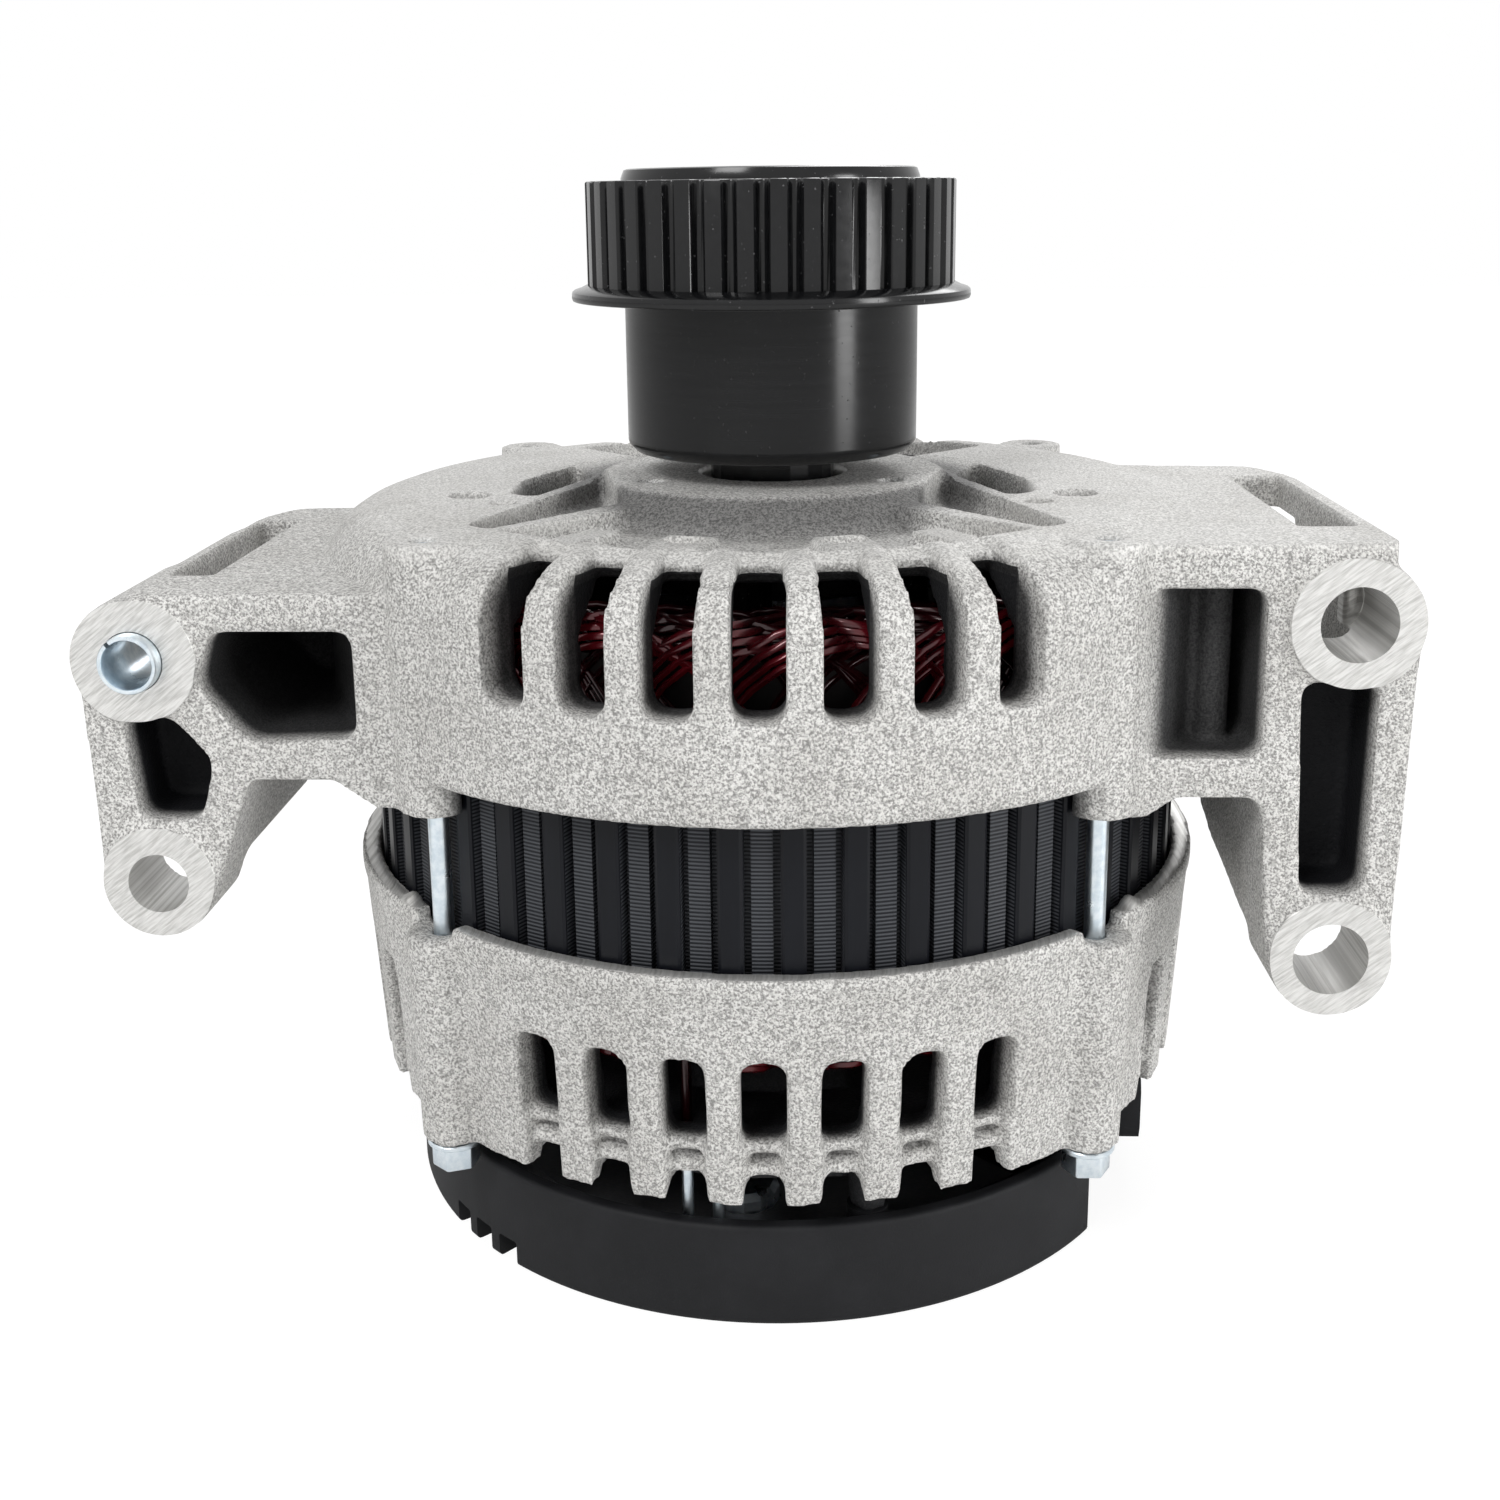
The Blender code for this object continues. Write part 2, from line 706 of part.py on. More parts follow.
def sector_recess(side):
    # The sunk field between hub, window shoulder and the two spokes of one side
    floor = plate_top - recess_depth
    high = hub_top + 2 * mm
    ring = shape_tool("recess_%d" % side, turned("recess", [
        (recess_outer + 1.5 * mm, high), (recess_outer + 1.5 * mm, plate_top), (recess_outer, floor),
        (recess_foot, floor), (hub_radius + 0.8 * mm, hub_top - 0.6 * mm), (hub_radius + 0.8 * mm, high)], 40))
    tip = spoke_width / sqrt(2)
    far = front_radius
    loop = [(0.0, side * tip), (side * far, side * (tip + far)), (-side * far, side * (tip + far))]
    wedge = ring.modifiers.new("wedge", "BOOLEAN")
    wedge.operation = "INTERSECT"
    wedge.object = shape_tool("wedge_%d" % side, prism([loop], plate_under, high + 5 * mm))
    return settled(ring)


def hub_vents():
    shares = ((0.5767, -0.1458), (0.5767, 0.0317), (0.4816, 0.2725), (0.4246, 0.0887), (0.5196, -0.1838))
    loop = rounded([(x * front_radius, y * front_radius) for x, y in shares], 1.2 * mm, 1)
    low, high = plate_under - 2 * mm, plate_top + 2 * mm
    return gathered([prism([loop], low, high), prism([mirrored(loop)], low, high)])


def spoke_grooves():
    shares = ((0.5995, -0.5196), (0.5526, -0.5754), (0.3143, -0.2712), (0.3929, 0.0444))
    loop = rounded([(x * front_radius, y * front_radius) for x, y in shares], 1.0 * mm, 1)
    low, high = plate_top - groove_floor, hub_top + 2 * mm
    return gathered([prism([loop], low, high), prism([mirrored(loop)], low, high)])


def panel_holes():
    low, high = plate_under - 2 * mm, plate_top + 2 * mm
    holes = []
    for side in (-1, 1):
        holes.append(moved(rod(vent_hole_radius, low, high, 10), x=side * 0.6641 * front_radius, y=-0.1673 * front_radius))
        holes.append(moved(rod(small_hole_radius, low, high, 8), x=side * 0.5716 * front_radius, y=-0.2687 * front_radius))
    return gathered(holes)


def make_drive_end_bracket():
    bracket = sub_part("drive_end_bracket", bracket_dome(), cast_aluminium)
    boss_low = skirt_low - front_boss_drop
    columns = [moved(rod(bolt_boss_radius, boss_low, plate_top - 0.4 * mm, 12), x=x, y=y) for x, y in bolt_places()]
    join(bracket, gathered(columns), "bolt_bosses")
    right_hollow, right_outer = right_pockets()
    left_hollow, left_outer = left_pockets()
    back_end = leg_back + 8 * mm
    right = shape_tool("right_arm", upright([right_arm_outline()], arm_front, back_end))
    left = shape_tool("left_arm", upright([left_arm_outline()], arm_front, back_end))
    roof_right = right_arm_top - arm_plate
    roof_left = left_arm_top - arm_plate
    cut(right, side_profile_cutter(
        (boss_x, 2 * front_radius), right_lower_boss[1] - 0.8 * mm, right_lower_boss[1] + 8 * mm, roof_right), "back")
    cut(left, side_profile_cutter(
        (-2 * front_radius, -boss_x), left_lower_boss[1], left_lower_boss[1], roof_left), "back")
    web = leg_back - arm_rib
    cut(right, upright([right_hollow], arm_front - 5 * mm, web), "pocket_near")
    cut(right, upright([right_outer], arm_front - 5 * mm, web), "pocket_outer")
    cut(left, upright([left_hollow], arm_front - 5 * mm, web), "pocket_near")
    cut(left, upright([left_outer], arm_front - 5 * mm, web), "pocket_outer")
    cut(left, left_nut_room(roof_left, back_end), "nut_room")
    cut(left, box((-2 * front_radius, left_upper_boss[0] - 2.8 * mm), (arm_front + boss_length + 14 * mm, back_end + 5 * mm),
                  (left_arm_floor, left_arm_top + 10 * mm)), "flank")
    join(right, top_panel(right_upper_boss[0] + 6.2 * mm, 12 * mm, roof_right, right_arm_top, 1), "panel")
    join(left, top_panel(-left_upper_boss[0] + 0.4 * mm, 10 * mm, roof_left, left_arm_top, -1), "panel")
    column = rod(pocket_column_radius, right_arm_floor + 2 * arm_rib, roof_right + 1 * mm, 12)
    join(right, moved(column, x=(boss_x + right_upper_boss[0]) / 2, y=arm_front + boss_length + 1.9 * mm), "column")
    for centre, radius, arm, label in (
            (right_upper_boss, right_upper_radius, right, "upper"), (right_lower_boss, right_lower_radius, right, "lower"),
            (left_upper_boss, left_upper_radius, left, "upper"), (left_lower_boss, left_lower_radius, left, "lower")):
        join(arm, bored(centre, radius - boss_face_step, boss_face, arm_front + 2 * mm, 22), "face_" + label)
    slot_start = arm_front + boss_length + 1 * mm
    tall = (right_lower_boss[1] - 30 * mm, hub_top + 10 * mm)
    cut(right, box((right_upper_boss[0] - 5.6 * mm, right_upper_boss[0] + 3.6 * mm),
                   (slot_start, arm_back - 12 * mm), tall), "opening")
    cut(left, box((left_upper_boss[0] + 1.0 * mm, left_upper_boss[0] + 8.0 * mm),
                  (slot_start, arm_back - 14 * mm), tall), "opening")
    join(bracket, settled(right), "right_arm")
    join(bracket, settled(left), "left_arm")
    cut(bracket, bracket_chamber(), "chamber")
    cut(bracket, window_cutters(), "windows")
    cut(bracket, sector_recess(-1), "front_recess")
    cut(bracket, sector_recess(1), "back_recess")
    cut(bracket, hub_vents(), "hub_vents")
    cut(bracket, spoke_grooves(), "spoke_grooves")
    cut(bracket, panel_holes(), "panel_holes")
    bores = []
    for centre, radius in ((right_upper_boss, right_bore), (right_lower_boss, right_bore),
                           (left_upper_boss, left_bore), (left_lower_boss, left_bore)):
        bores.append(bored(centre, radius, boss_face - 2 * mm, slot_start + 4 * mm))
    cut(bracket, gathered(bores), "bolt_bores")
    low = boss_low - 2 * mm
    holes = [moved(rod(bolt_radius + seat_gap, low, plate_top + 3 * mm, 8), x=x, y=y) for x, y in bolt_places()]
    for x, y in retainer_screw_places():
        holes.append(moved(rod(retainer_screw_radius + seat_gap, plate_under - 2 * bearing_boss_wall, hub_top + 2 * mm, 8),
                           x=x, y=y))
    cut(bracket, gathered(holes), "bolt_holes")
    return bracket


def make_sleeve():
    # The split steel bush in the upper left boss, its origin on the bore's axis
    start = boss_face - sleeve_rise + boss_face_rise
    outer = left_bore - seat_gap / 2
    tube = turned("sleeve", [(outer, sleeve_length), (outer, 0.0), (outer - sleeve_wall, 0.0),
                             (outer - sleeve_wall, sleeve_length)], 28)
    tube.transform(lay_back)
    sleeve = sub_part("adjusting_sleeve", tube, zinc_steel)
    sleeve.location = (left_upper_boss[0], start, left_upper_boss[1])
    gap = box((-sleeve_slot / 2, sleeve_slot / 2), (-1 * mm, sleeve_length + 1 * mm), (0.0, 2 * outer))
    gap.transform(Matrix.Translation(sleeve.location) @ Matrix.Rotation(radians(-40), 4, "Y"))
    cut(sleeve, gap, "split")
    return sleeve


# Slip ring end bracket

def make_slip_ring_end_bracket():
    step = rim_top - rear_step_drop
    body = turned("rear_body", [
        (0.0, rim_top), (rear_radius, rim_top), (rear_radius, step), (rear_radius - 0.4 * mm, step - 0.4 * mm),
        (rear_foot_radius, rear_foot_low), (rear_ring_radius + 0.4 * mm, rear_foot_low),
        (rear_ring_radius, rear_wall_low), (0.0, rear_wall_low)], 40)
    bracket = sub_part("slip_ring_end_bracket", body, cast_aluminium)
    columns = [moved(rod(bolt_boss_radius - 1.0 * mm, rear_foot_low, rim_top - rear_pad_drop, 12,
                         bolt_boss_radius), x=x, y=y) for x, y in bolt_places()]
    join(bracket, gathered(columns), "bolt_bosses")
    boss = rear_pocket + rear_boss_wall
    boss_high = rear_bearing_high + 1.5 * mm
    window_inner = stator_radius + seat_gap - 4.5 * mm
    chamber = turned("rear_chamber", [
        (0.0, rim_top + 2 * mm), (stator_radius + seat_gap, rim_top + 2 * mm), (stator_radius + seat_gap, seat_low),
        (window_inner + 0.7 * mm, seat_low), (window_inner - 2 * mm, rear_floor), (boss, rear_floor), (boss, boss_high), (rear_pocket, boss_high),
        (rear_pocket, rear_bearing_low - seat_gap), (slip_ring_radius + 3.5 * mm, rear_bearing_low - seat_gap),
        (slip_ring_radius + 3.5 * mm, rear_wall_low - 3 * mm), (0.0, rear_wall_low - 3 * mm)], 40)
    cut(bracket, chamber, "chamber")
    inner, outer = window_inner - 6 * mm, rear_radius + 6 * mm
    loop = [(inner, rear_window_low), (inner, rear_window_high), (outer, rear_window_high),
            (outer, rear_foot_low - 3 * mm), (rear_ring_radius, rear_foot_low - 3 * mm),
            (rear_ring_radius, rear_window_low)]
    slots = []
    for middle in (-90.0, 0.0, 90.0, 180.0):
        slots += [radial(loop, rear_window_width, angle) for angle in window_angles(middle)]
    cut(bracket, gathered(slots), "windows")
    pads = []
    for x, y in bolt_places():
        outward = atan2(y, x)
        pad = box((bolt_circle - 1.5 * mm, bolt_circle + 9 * mm), (-5 * mm, 5 * mm),
                  (rim_top - rear_pad_drop, rim_top + 2 * mm))
        pads.append(turned_about_z(pad, outward * 180 / pi))
    cut(bracket, gathered(pads), "rim_notches")
    posts = []
    for angle in rectifier_screw_angles:
        x, y = polar(rectifier_screw_circle, angle)
        plate_high = negative_plate_low + heat_sink_thickness
        posts.append(moved(rod(rectifier_post_radius, plate_high + seat_gap, rear_wall_low + 1 * mm, 8), x=x, y=y))
    for x, y in cover_screw_places():
        posts.append(moved(rod(cover_boss_radius, cover_height + seat_gap, rear_wall_low + 1 * mm, 8), x=x, y=y))
    join(bracket, gathered(posts), "posts")
    holes = [moved(rod(bolt_radius + seat_gap, rear_foot_low - 2 * mm, rim_top + 2 * mm, 8), x=x, y=y)
             for x, y in bolt_places()]
    for angle in rectifier_screw_angles:
        x, y = polar(rectifier_screw_circle, angle)
        holes.append(moved(rod(rectifier_screw_radius + seat_gap, negative_plate_low, rear_floor + 2 * mm, 8), x=x, y=y))
    for x, y in cover_screw_places():
        holes.append(moved(rod(cover_screw_radius + seat_gap, cover_height - 2 * mm, rear_wall_low + 2.5 * mm, 8),
                           x=x, y=y))
    for angle in phase_lead_angles:
        x, y = polar(phase_lead_circle, angle)
        holes.append(moved(rod(phase_lead_radius + 0.5 * mm, rear_wall_low - 2 * mm, rear_floor + 4 * mm, 8), x=x, y=y))
    cut(bracket, gathered(holes), "bolt_holes")
    inlets = []
    for i in range(4):
        middle = 90.0 * i
        inlets.append(prism([arc((0, 0), 45 * mm, middle - 16, middle + 16, 3)
                             + arc((0, 0), 53 * mm, middle + 16, middle - 16, 3)],
                            rear_wall_low - 2 * mm, rear_floor + 2 * mm))
    cut(bracket, gathered(inlets), "air_inlets")
    return bracket


# Stator

def stator_outline():
    # Smooth lands and lower bands alternate round the core
    pitch = 360.0 / stator_lands
    half_land = land_width / 2 / stator_radius * 180 / pi
    band = stator_radius - band_drop
    loop = []
    for i in range(stator_lands):
        middle = pitch * (i + 0.5)
        steps = ((stator_radius, -half_land), (stator_radius, half_land), (band, half_land), (band, pitch - half_land))
        loop += [polar(radius, middle + angle) for radius, angle in steps]
    return loop


def stator_bore_outline():
    loop = []
    for i in range(stator_slots):
        middle = radians(360.0 / stator_slots * i)
        for depth, across in ((stator_bore, -1), (slot_bottom, -1), (slot_bottom, 1), (stator_bore, 1)):
            side = across * slot_width / 2
            along = sqrt(depth ** 2 - side ** 2)
            loop.append((along * cos(middle) - side * sin(middle), along * sin(middle) + side * cos(middle)))
    return loop


def make_stator():
    core = prism([stator_outline(), stator_bore_outline()], stator_low, stator_high)
    sub_part("stator_core", core, lamination_steel)
    front = stator_high + seat_gap
    rear = stator_low - seat_gap
    soft = 3.5 * mm
    half_pitch = 180.0 / stator_slots
    crown = turned_about_z(turned("front_crown", [
        (crown_bore + soft, front + front_crown_height), (crown_radius - soft, front + front_crown_height),
        (crown_radius, front + front_crown_height - soft), (crown_radius, front + soft), (crown_radius - soft, front),
        (crown_bore, front), (crown_bore, front + front_crown_height - soft)], stator_slots // 2), half_pitch)
    winding = sub_part("stator_winding", crown, enamelled_wire)
    rear_crown = turned_about_z(turned("rear_crown", [
        (crown_bore, rear), (crown_radius - soft, rear), (crown_radius, rear - soft),
        (crown_radius - soft, rear - rear_crown_height), (crown_bore + soft, rear - rear_crown_height),
        (crown_bore, rear - rear_crown_height + soft)], stator_slots // 2), half_pitch)
    join(winding, rear_crown, "rear_crown")
    bars = []
    half = slot_width / 2 - seat_gap
    for i in range(stator_slots):
        bar = box((crown_bore + 0.5 * mm, slot_bottom - seat_gap), (-half, half), (rear - 1 * mm, front + 1 * mm))
        bars.append(turned_about_z(bar, 360.0 / stator_slots * i))
    join(winding, gathered(bars), "slot_bars")
    leads = []
    for angle in phase_lead_angles:
        x, y = polar(phase_lead_circle, angle)
        leads.append(moved(rod(phase_lead_radius, positive_plate_low + 2 * mm, rear - soft, 8), x=x, y=y))
    join(winding, gathered(leads), "phase_leads")
    return winding


# Bolts, screws and studs

def hexagon_head(across_flats, low, high):
    return rod(across_flats / sqrt(3), low, high, 6)


def make_bolt(name, head_width, head_height, shank_radius, seat, tip, place, material, sides=8):
    # A headed bolt that enters from below: its head hangs under the seat, its shank runs up to the tip
    bolt = sub_part(name, hexagon_head(head_width, -head_height, 0.0), material)
    bolt.location = (place[0], place[1], seat)
    shank = rod(shank_radius, -head_height / 2, tip - seat, sides)
    shank.transform(Matrix.Translation(bolt.location))
    join(bolt, shank, "shank")
    return bolt


def retainer_screw_places():
    return [polar(retainer_screw_circle, -150.0 + 360.0 / retainer_screws * i) for i in range(retainer_screws)]


def cover_screw_places():
    return [polar(cover_screw_circle, angle) for angle in (75.0, 190.0, 285.0)]


def make_fasteners():
    for i, place in enumerate(bolt_places()):
        make_bolt("through_bolt_%d" % (i + 1), bolt_head_width, bolt_head_height, bolt_radius,
                  rear_foot_low - seat_gap, plate_top - bolt_tip_drop, place, zinc_steel)
    retainer_low = front_bearing_low - seat_gap - retainer_thickness
    for i, place in enumerate(retainer_screw_places()):
        make_bolt("retainer_screw_%d" % (i + 1), screw_head_width, 2.4 * mm, retainer_screw_radius,
                  retainer_low - seat_gap, hub_top - 0.8 * mm, place, zinc_steel)
    for i, angle in enumerate(rectifier_screw_angles):
        make_bolt("rectifier_screw_%d" % (i + 1), screw_head_width, 2.2 * mm, rectifier_screw_radius,
                  positive_plate_low - seat_gap, rear_floor - 0.5 * mm, polar(rectifier_screw_circle, angle), zinc_steel)
    for i, place in enumerate(cover_screw_places()):
        make_bolt("cover_screw_%d" % (i + 1), cover_screw_head, 1.6 * mm, cover_screw_radius,
                  cover_wall - seat_gap, rear_wall_low + 1.5 * mm, place, zinc_steel)


# Bearings

def make_bearing(label, bore, outside, low, width, race, cage_parent, inner_parent):
    high = low + width
    edge = 0.6 * mm
    ring = turned("outer", [
        (outside - edge, high), (outside, high - edge), (outside, low + edge), (outside - edge, low),
        (outside - race, low), (outside - race, high)], 24)
    sub_part(label + "_bearing_outer_race", ring, bright_steel)
    inside = bore + seat_gap
    core = turned("inner", [
        (inside + race, high), (inside + race, low), (inside, low), (inside, high)], 24)
    sub_part(label + "_bearing_inner_race", core, bright_steel, inner_parent)
    middle = (outside - race + inside + race) / 2
    ball = (outside - race - inside - race) / 2 - seat_gap
    balls = []
    for i in range(bearing_balls):
        shape = bmesh.new()
        bmesh.ops.create_icosphere(shape, subdivisions=1, radius=ball)
        x, y = polar(middle, 360.0 / bearing_balls * i)
        balls.append(moved(from_shape("ball", shape), x=x, y=y, z=(low + high) / 2))
    cage_half = ball * 0.45
    cage = turned("cage", [
        (middle + cage_half, (low + high) / 2 + ball * 0.7), (middle + cage_half, (low + high) / 2 - ball * 0.7),
        (middle - cage_half, (low + high) / 2 - ball * 0.7), (middle - cage_half, (low + high) / 2 + ball * 0.7)], 14)
    cage_part = sub_part(label + "_bearing_cage", cage, bright_steel, cage_parent)
    join(cage_part, gathered(balls), "balls")


def make_retainer():
    high = front_bearing_low - seat_gap
    low = high - retainer_thickness
    outside = front_pocket + bearing_boss_wall - 0.5 * mm
    plate = sub_part("bearing_retainer", turned("retainer", [
        (outside, high), (outside, low), (retainer_bore, low), (retainer_bore, high)], 24), zinc_steel)
    holes = [moved(rod(retainer_screw_radius + seat_gap, low - 1 * mm, high + 1 * mm, 8), x=x, y=y)
             for x, y in retainer_screw_places()]
    cut(plate, gathered(holes), "screw_holes")
    return plate


# Rotor

def make_shaft(rotor):
    shoulder_low = stator_high + 2 * seat_gap + fan_plate
    profile = [
        (0.0, shaft_high), (front_journal - 1 * mm, shaft_high), (front_journal, shaft_high - 1 * mm),
        (front_journal, front_bearing_low - seat_gap), (shaft_shoulder, front_bearing_low - seat_gap),
        (shaft_shoulder, shoulder_low), (front_journal, shoulder_low),
        (front_journal, rear_bearing_high + 2 * mm), (rear_journal, rear_bearing_high + 2 * mm),
        (rear_journal, carrier_high + seat_gap), (ring_stub, carrier_high + seat_gap),
        (ring_stub, shaft_low), (0.0, shaft_low)]
    sub_part("rotor_shaft", turned("shaft", profile, 20), bright_steel, rotor)


def claw(base, tip, degrees):
    # One tapering finger of a claw pole, lofted through three unlike sections
    direction = 1 if tip > base else -1
    inner_face = base + direction * pole_disc
    sections = (
        (base, claw_root_angle, pole_radius - claw_root_thickness - 2 * mm),
        (inner_face, claw_root_angle, pole_radius - claw_root_thickness - 2 * mm),
        (tip, claw_tip_angle, pole_radius - claw_tip_thickness))
    shape = bmesh.new()
    rings = []
    for height, spread, inner in sections:
        outer_arc = arc((0, 0), pole_radius, degrees - spread / 2, degrees + spread / 2, 2)
        inner_arc = arc((0, 0), inner, degrees + spread / 2, degrees - spread / 2, 1)
        rings.append([shape.verts.new((x, y, height)) for x, y in outer_arc + inner_arc])
    for near, far in zip(rings, rings[1:]):
        for i in range(len(near)):
            j = (i + 1) % len(near)
            shape.faces.new((near[i], near[j], far[j], far[i]))
    shape.faces.new(reversed(rings[0]))
    shape.faces.new(rings[-1])
    bmesh.ops.recalc_face_normals(shape, faces=shape.faces)
    return from_shape("claw", shape)


def make_claw_pole(name, base, tip, first_angle, rotor):
    direction = 1 if tip > base else -1
    low, high = sorted((base, base + direction * pole_disc))
    disc = turned("disc", [
        (pole_core_radius, high), (pole_core_radius, low), (front_journal + seat_gap, low),
        (front_journal + seat_gap, high)], 24)
    pole = sub_part(name, disc, forged_iron, rotor)
    pitch = 360.0 / claws_per_pole
    join(pole, gathered([claw(base, tip, first_angle + pitch * i) for i in range(claws_per_pole)]), "claws")
    return pole


def fan_blade(low, high, degrees):
    # A curved blade that leans back from the direction of turning
    lean = 24.0
    steps = 3
    outer_side = []
    inner_side = []
    for i in range(steps + 1):
        share = i / steps
        radius = fan_eye + (fan_radius - 0.5 * mm - fan_eye) * share
        angle = degrees - lean * share ** 1.3
        half_wall = fan_blade_wall / 2 / radius * 180 / pi
        outer_side.append(polar(radius, angle - half_wall))
        inner_side.append(polar(radius, angle + half_wall))
    return prism([outer_side + inner_side[::-1]], low, high)


def make_fan(name, plate_low, plate_high, blade_low, blade_high, lowest_radius, rotor):
    disc = turned("fan_disc", [
        (fan_radius, plate_high), (fan_radius, plate_low), (lowest_radius, plate_low), (lowest_radius, plate_high)], 24)
    fan = sub_part(name, disc, black_steel, rotor)
    pitch = 360.0 / fan_blades
    blades = [fan_blade(blade_low, blade_high, pitch * i + (i % 3) * 3.0) for i in range(fan_blades)]
    join(fan, gathered(blades), "blades")
    return fan


def make_rotor(rotor):
    make_shaft(rotor)
    pitch = 360.0 / claws_per_pole
    make_claw_pole("front_claw_pole", stator_high, stator_low + claw_tip_gap, 0.0, rotor)
    make_claw_pole("rear_claw_pole", stator_low, stator_high - claw_tip_gap, pitch / 2, rotor)
    coil_low, coil_high = stator_low + pole_disc + seat_gap, stator_high - pole_disc - seat_gap
    flange = 1.6 * mm
    coil = turned("coil", [
        (coil_radius, coil_high), (coil_radius, coil_high - flange), (coil_radius - 2 * mm, coil_high - flange),
        (coil_radius - 2 * mm, coil_low + flange), (coil_radius, coil_low + flange), (coil_radius, coil_low),
        (coil_core, coil_low), (coil_core, coil_high)], 20)
    sub_part("field_coil", coil, copper, rotor)
    yoke = turned("yoke", [
        (coil_core - seat_gap, coil_high), (coil_core - seat_gap, coil_low), (front_journal + seat_gap, coil_low),
        (front_journal + seat_gap, coil_high)], 16)
    sub_part("rotor_yoke", yoke, forged_iron, rotor)
    front_low = stator_high + seat_gap
    make_fan("front_fan", front_low, front_low + fan_plate, front_low + 0.5 * mm, front_low + front_fan_height,
             front_journal + seat_gap, rotor)
    rear_high = stator_low - seat_gap
    make_fan("rear_fan", rear_high - fan_plate, rear_high, rear_high - rear_fan_height, rear_high - 0.5 * mm,
             front_journal + seat_gap, rotor)
    groove = carrier_radius - 1.6 * mm
    profile = [(carrier_radius, carrier_high)]
    for low in reversed(slip_ring_lows):
        high = low + slip_ring_width
        profile += [(carrier_radius, high + seat_gap), (groove, high + seat_gap), (groove, low - seat_gap),
                    (carrier_radius, low - seat_gap)]
    profile += [(carrier_radius, carrier_low), (ring_stub + seat_gap, carrier_low), (ring_stub + seat_gap, carrier_high)]
    sub_part("slip_ring_carrier", turned("carrier", profile, 14), black_plastic, rotor)
    for label, low in zip(("lower", "upper"), slip_ring_lows):
        ring = turned("slip_ring", [
            (slip_ring_radius, low + slip_ring_width), (slip_ring_radius, low), (groove + seat_gap, low),
            (groove + seat_gap, low + slip_ring_width)], 18)
        sub_part("slip_ring_" + label, ring, copper, rotor)


# Freewheel pulley

def toothed_outline():
    pitch = 360.0 / tooth_count
    to_degrees = 180 / (pi * teeth_radius)
    half_gap = tooth_gap_width / 2 * to_degrees
    floor = teeth_radius - tooth_gap_depth
    loop = []
    for i in range(tooth_count):
        middle = pitch * i + 4.0
        steps = ((teeth_radius, -half_gap), (floor, -half_gap * 0.5), (floor, half_gap * 0.5), (teeth_radius, half_gap))
        loop += [polar(radius, middle + angle) for radius, angle in steps]
    return loop


def make_pulley(ring_body, rotor):
    body = turned("pulley", [
        (pulley_lip_radius - 0.8 * mm, pulley_top), (pulley_lip_radius, pulley_top - 1.2 * mm),
        (pulley_lip_radius, flange_high), (flange_radius - 0.4 * mm, flange_high), (flange_radius, flange_high - 0.6 * mm),
        (flange_radius, flange_low),
        (pulley_body_radius, flange_low), (pulley_body_radius, pulley_low + pulley_body_chamfer),
        (pulley_body_radius - pulley_body_chamfer, pulley_low), (pulley_bore, pulley_low),
        (pulley_bore, cap_low - seat_gap), (cap_radius + seat_gap, cap_low - seat_gap),
        (cap_radius + seat_gap, pulley_top)], 40)
    ring = sub_part("pulley_ring", body, black_steel, ring_body)
    teeth = prism([toothed_outline(), circle((0, 0), (pulley_bore + pulley_lip_radius) / 2 + 1 * mm, 24)],
                  flange_high - 0.8 * mm, teeth_high)
    join(ring, teeth, "teeth")
    hub_low = front_bearing_high + seat_gap
    hub_high = cap_low - 2 * mm
    collar = pulley_low - 0.8 * mm
    hub = turned("hub", [
        (pulley_hub_radius, hub_high), (pulley_hub_radius, collar), (shaft_shoulder, collar), (shaft_shoulder, hub_low),
        (front_journal + seat_gap, hub_low), (front_journal + seat_gap, hub_high)], 20)
    sub_part("pulley_hub", hub, bright_steel, rotor)
    lower_low = pulley_low + 0.5 * mm
    upper_high = hub_high - 0.5 * mm
    for label, low in (("lower", lower_low), ("upper", upper_high - bush_length)):
        bush = turned("bush", [
            (pulley_bore - seat_gap, low + bush_length), (pulley_bore - seat_gap, low),
            (pulley_hub_radius + seat_gap, low), (pulley_hub_radius + seat_gap, low + bush_length)], 20)
        sub_part("pulley_bush_" + label, bush, bright_steel, rotor)
    rollers_low = lower_low + bush_length + seat_gap
    rollers_high = upper_high - bush_length - seat_gap
    middle = (pulley_bore + pulley_hub_radius) / 2
    thick = (pulley_bore - pulley_hub_radius) / 2 - seat_gap
    cage = turned("clutch", [
        (middle + thick * 0.5, rollers_high), (middle + thick * 0.5, rollers_low), (middle - thick * 0.5, rollers_low),
        (middle - thick * 0.5, rollers_high)], 16)
    clutch = sub_part("clutch_rollers", cage, bright_steel, rotor)
    rollers = []
    for i in range(clutch_rollers):
        x, y = polar(middle, 360.0 / clutch_rollers * i)
        rollers.append(moved(rod(thick, rollers_low + 1 * mm, rollers_high - 1 * mm, 6), x=x, y=y))
    join(clutch, gathered(rollers), "rollers")
    cap = turned("cap", [
        (0.0, pulley_top - 0.6 * mm), (cap_radius - 4 * mm, pulley_top - 0.6 * mm), (cap_radius - 3 * mm, pulley_top - 1.4 * mm),
        (cap_radius, pulley_top - 1.4 * mm), (cap_radius, cap_low), (0.0, cap_low)], 30)
    sub_part("pulley_end_cap", cap, black_plastic, ring_body)


# Rectifier

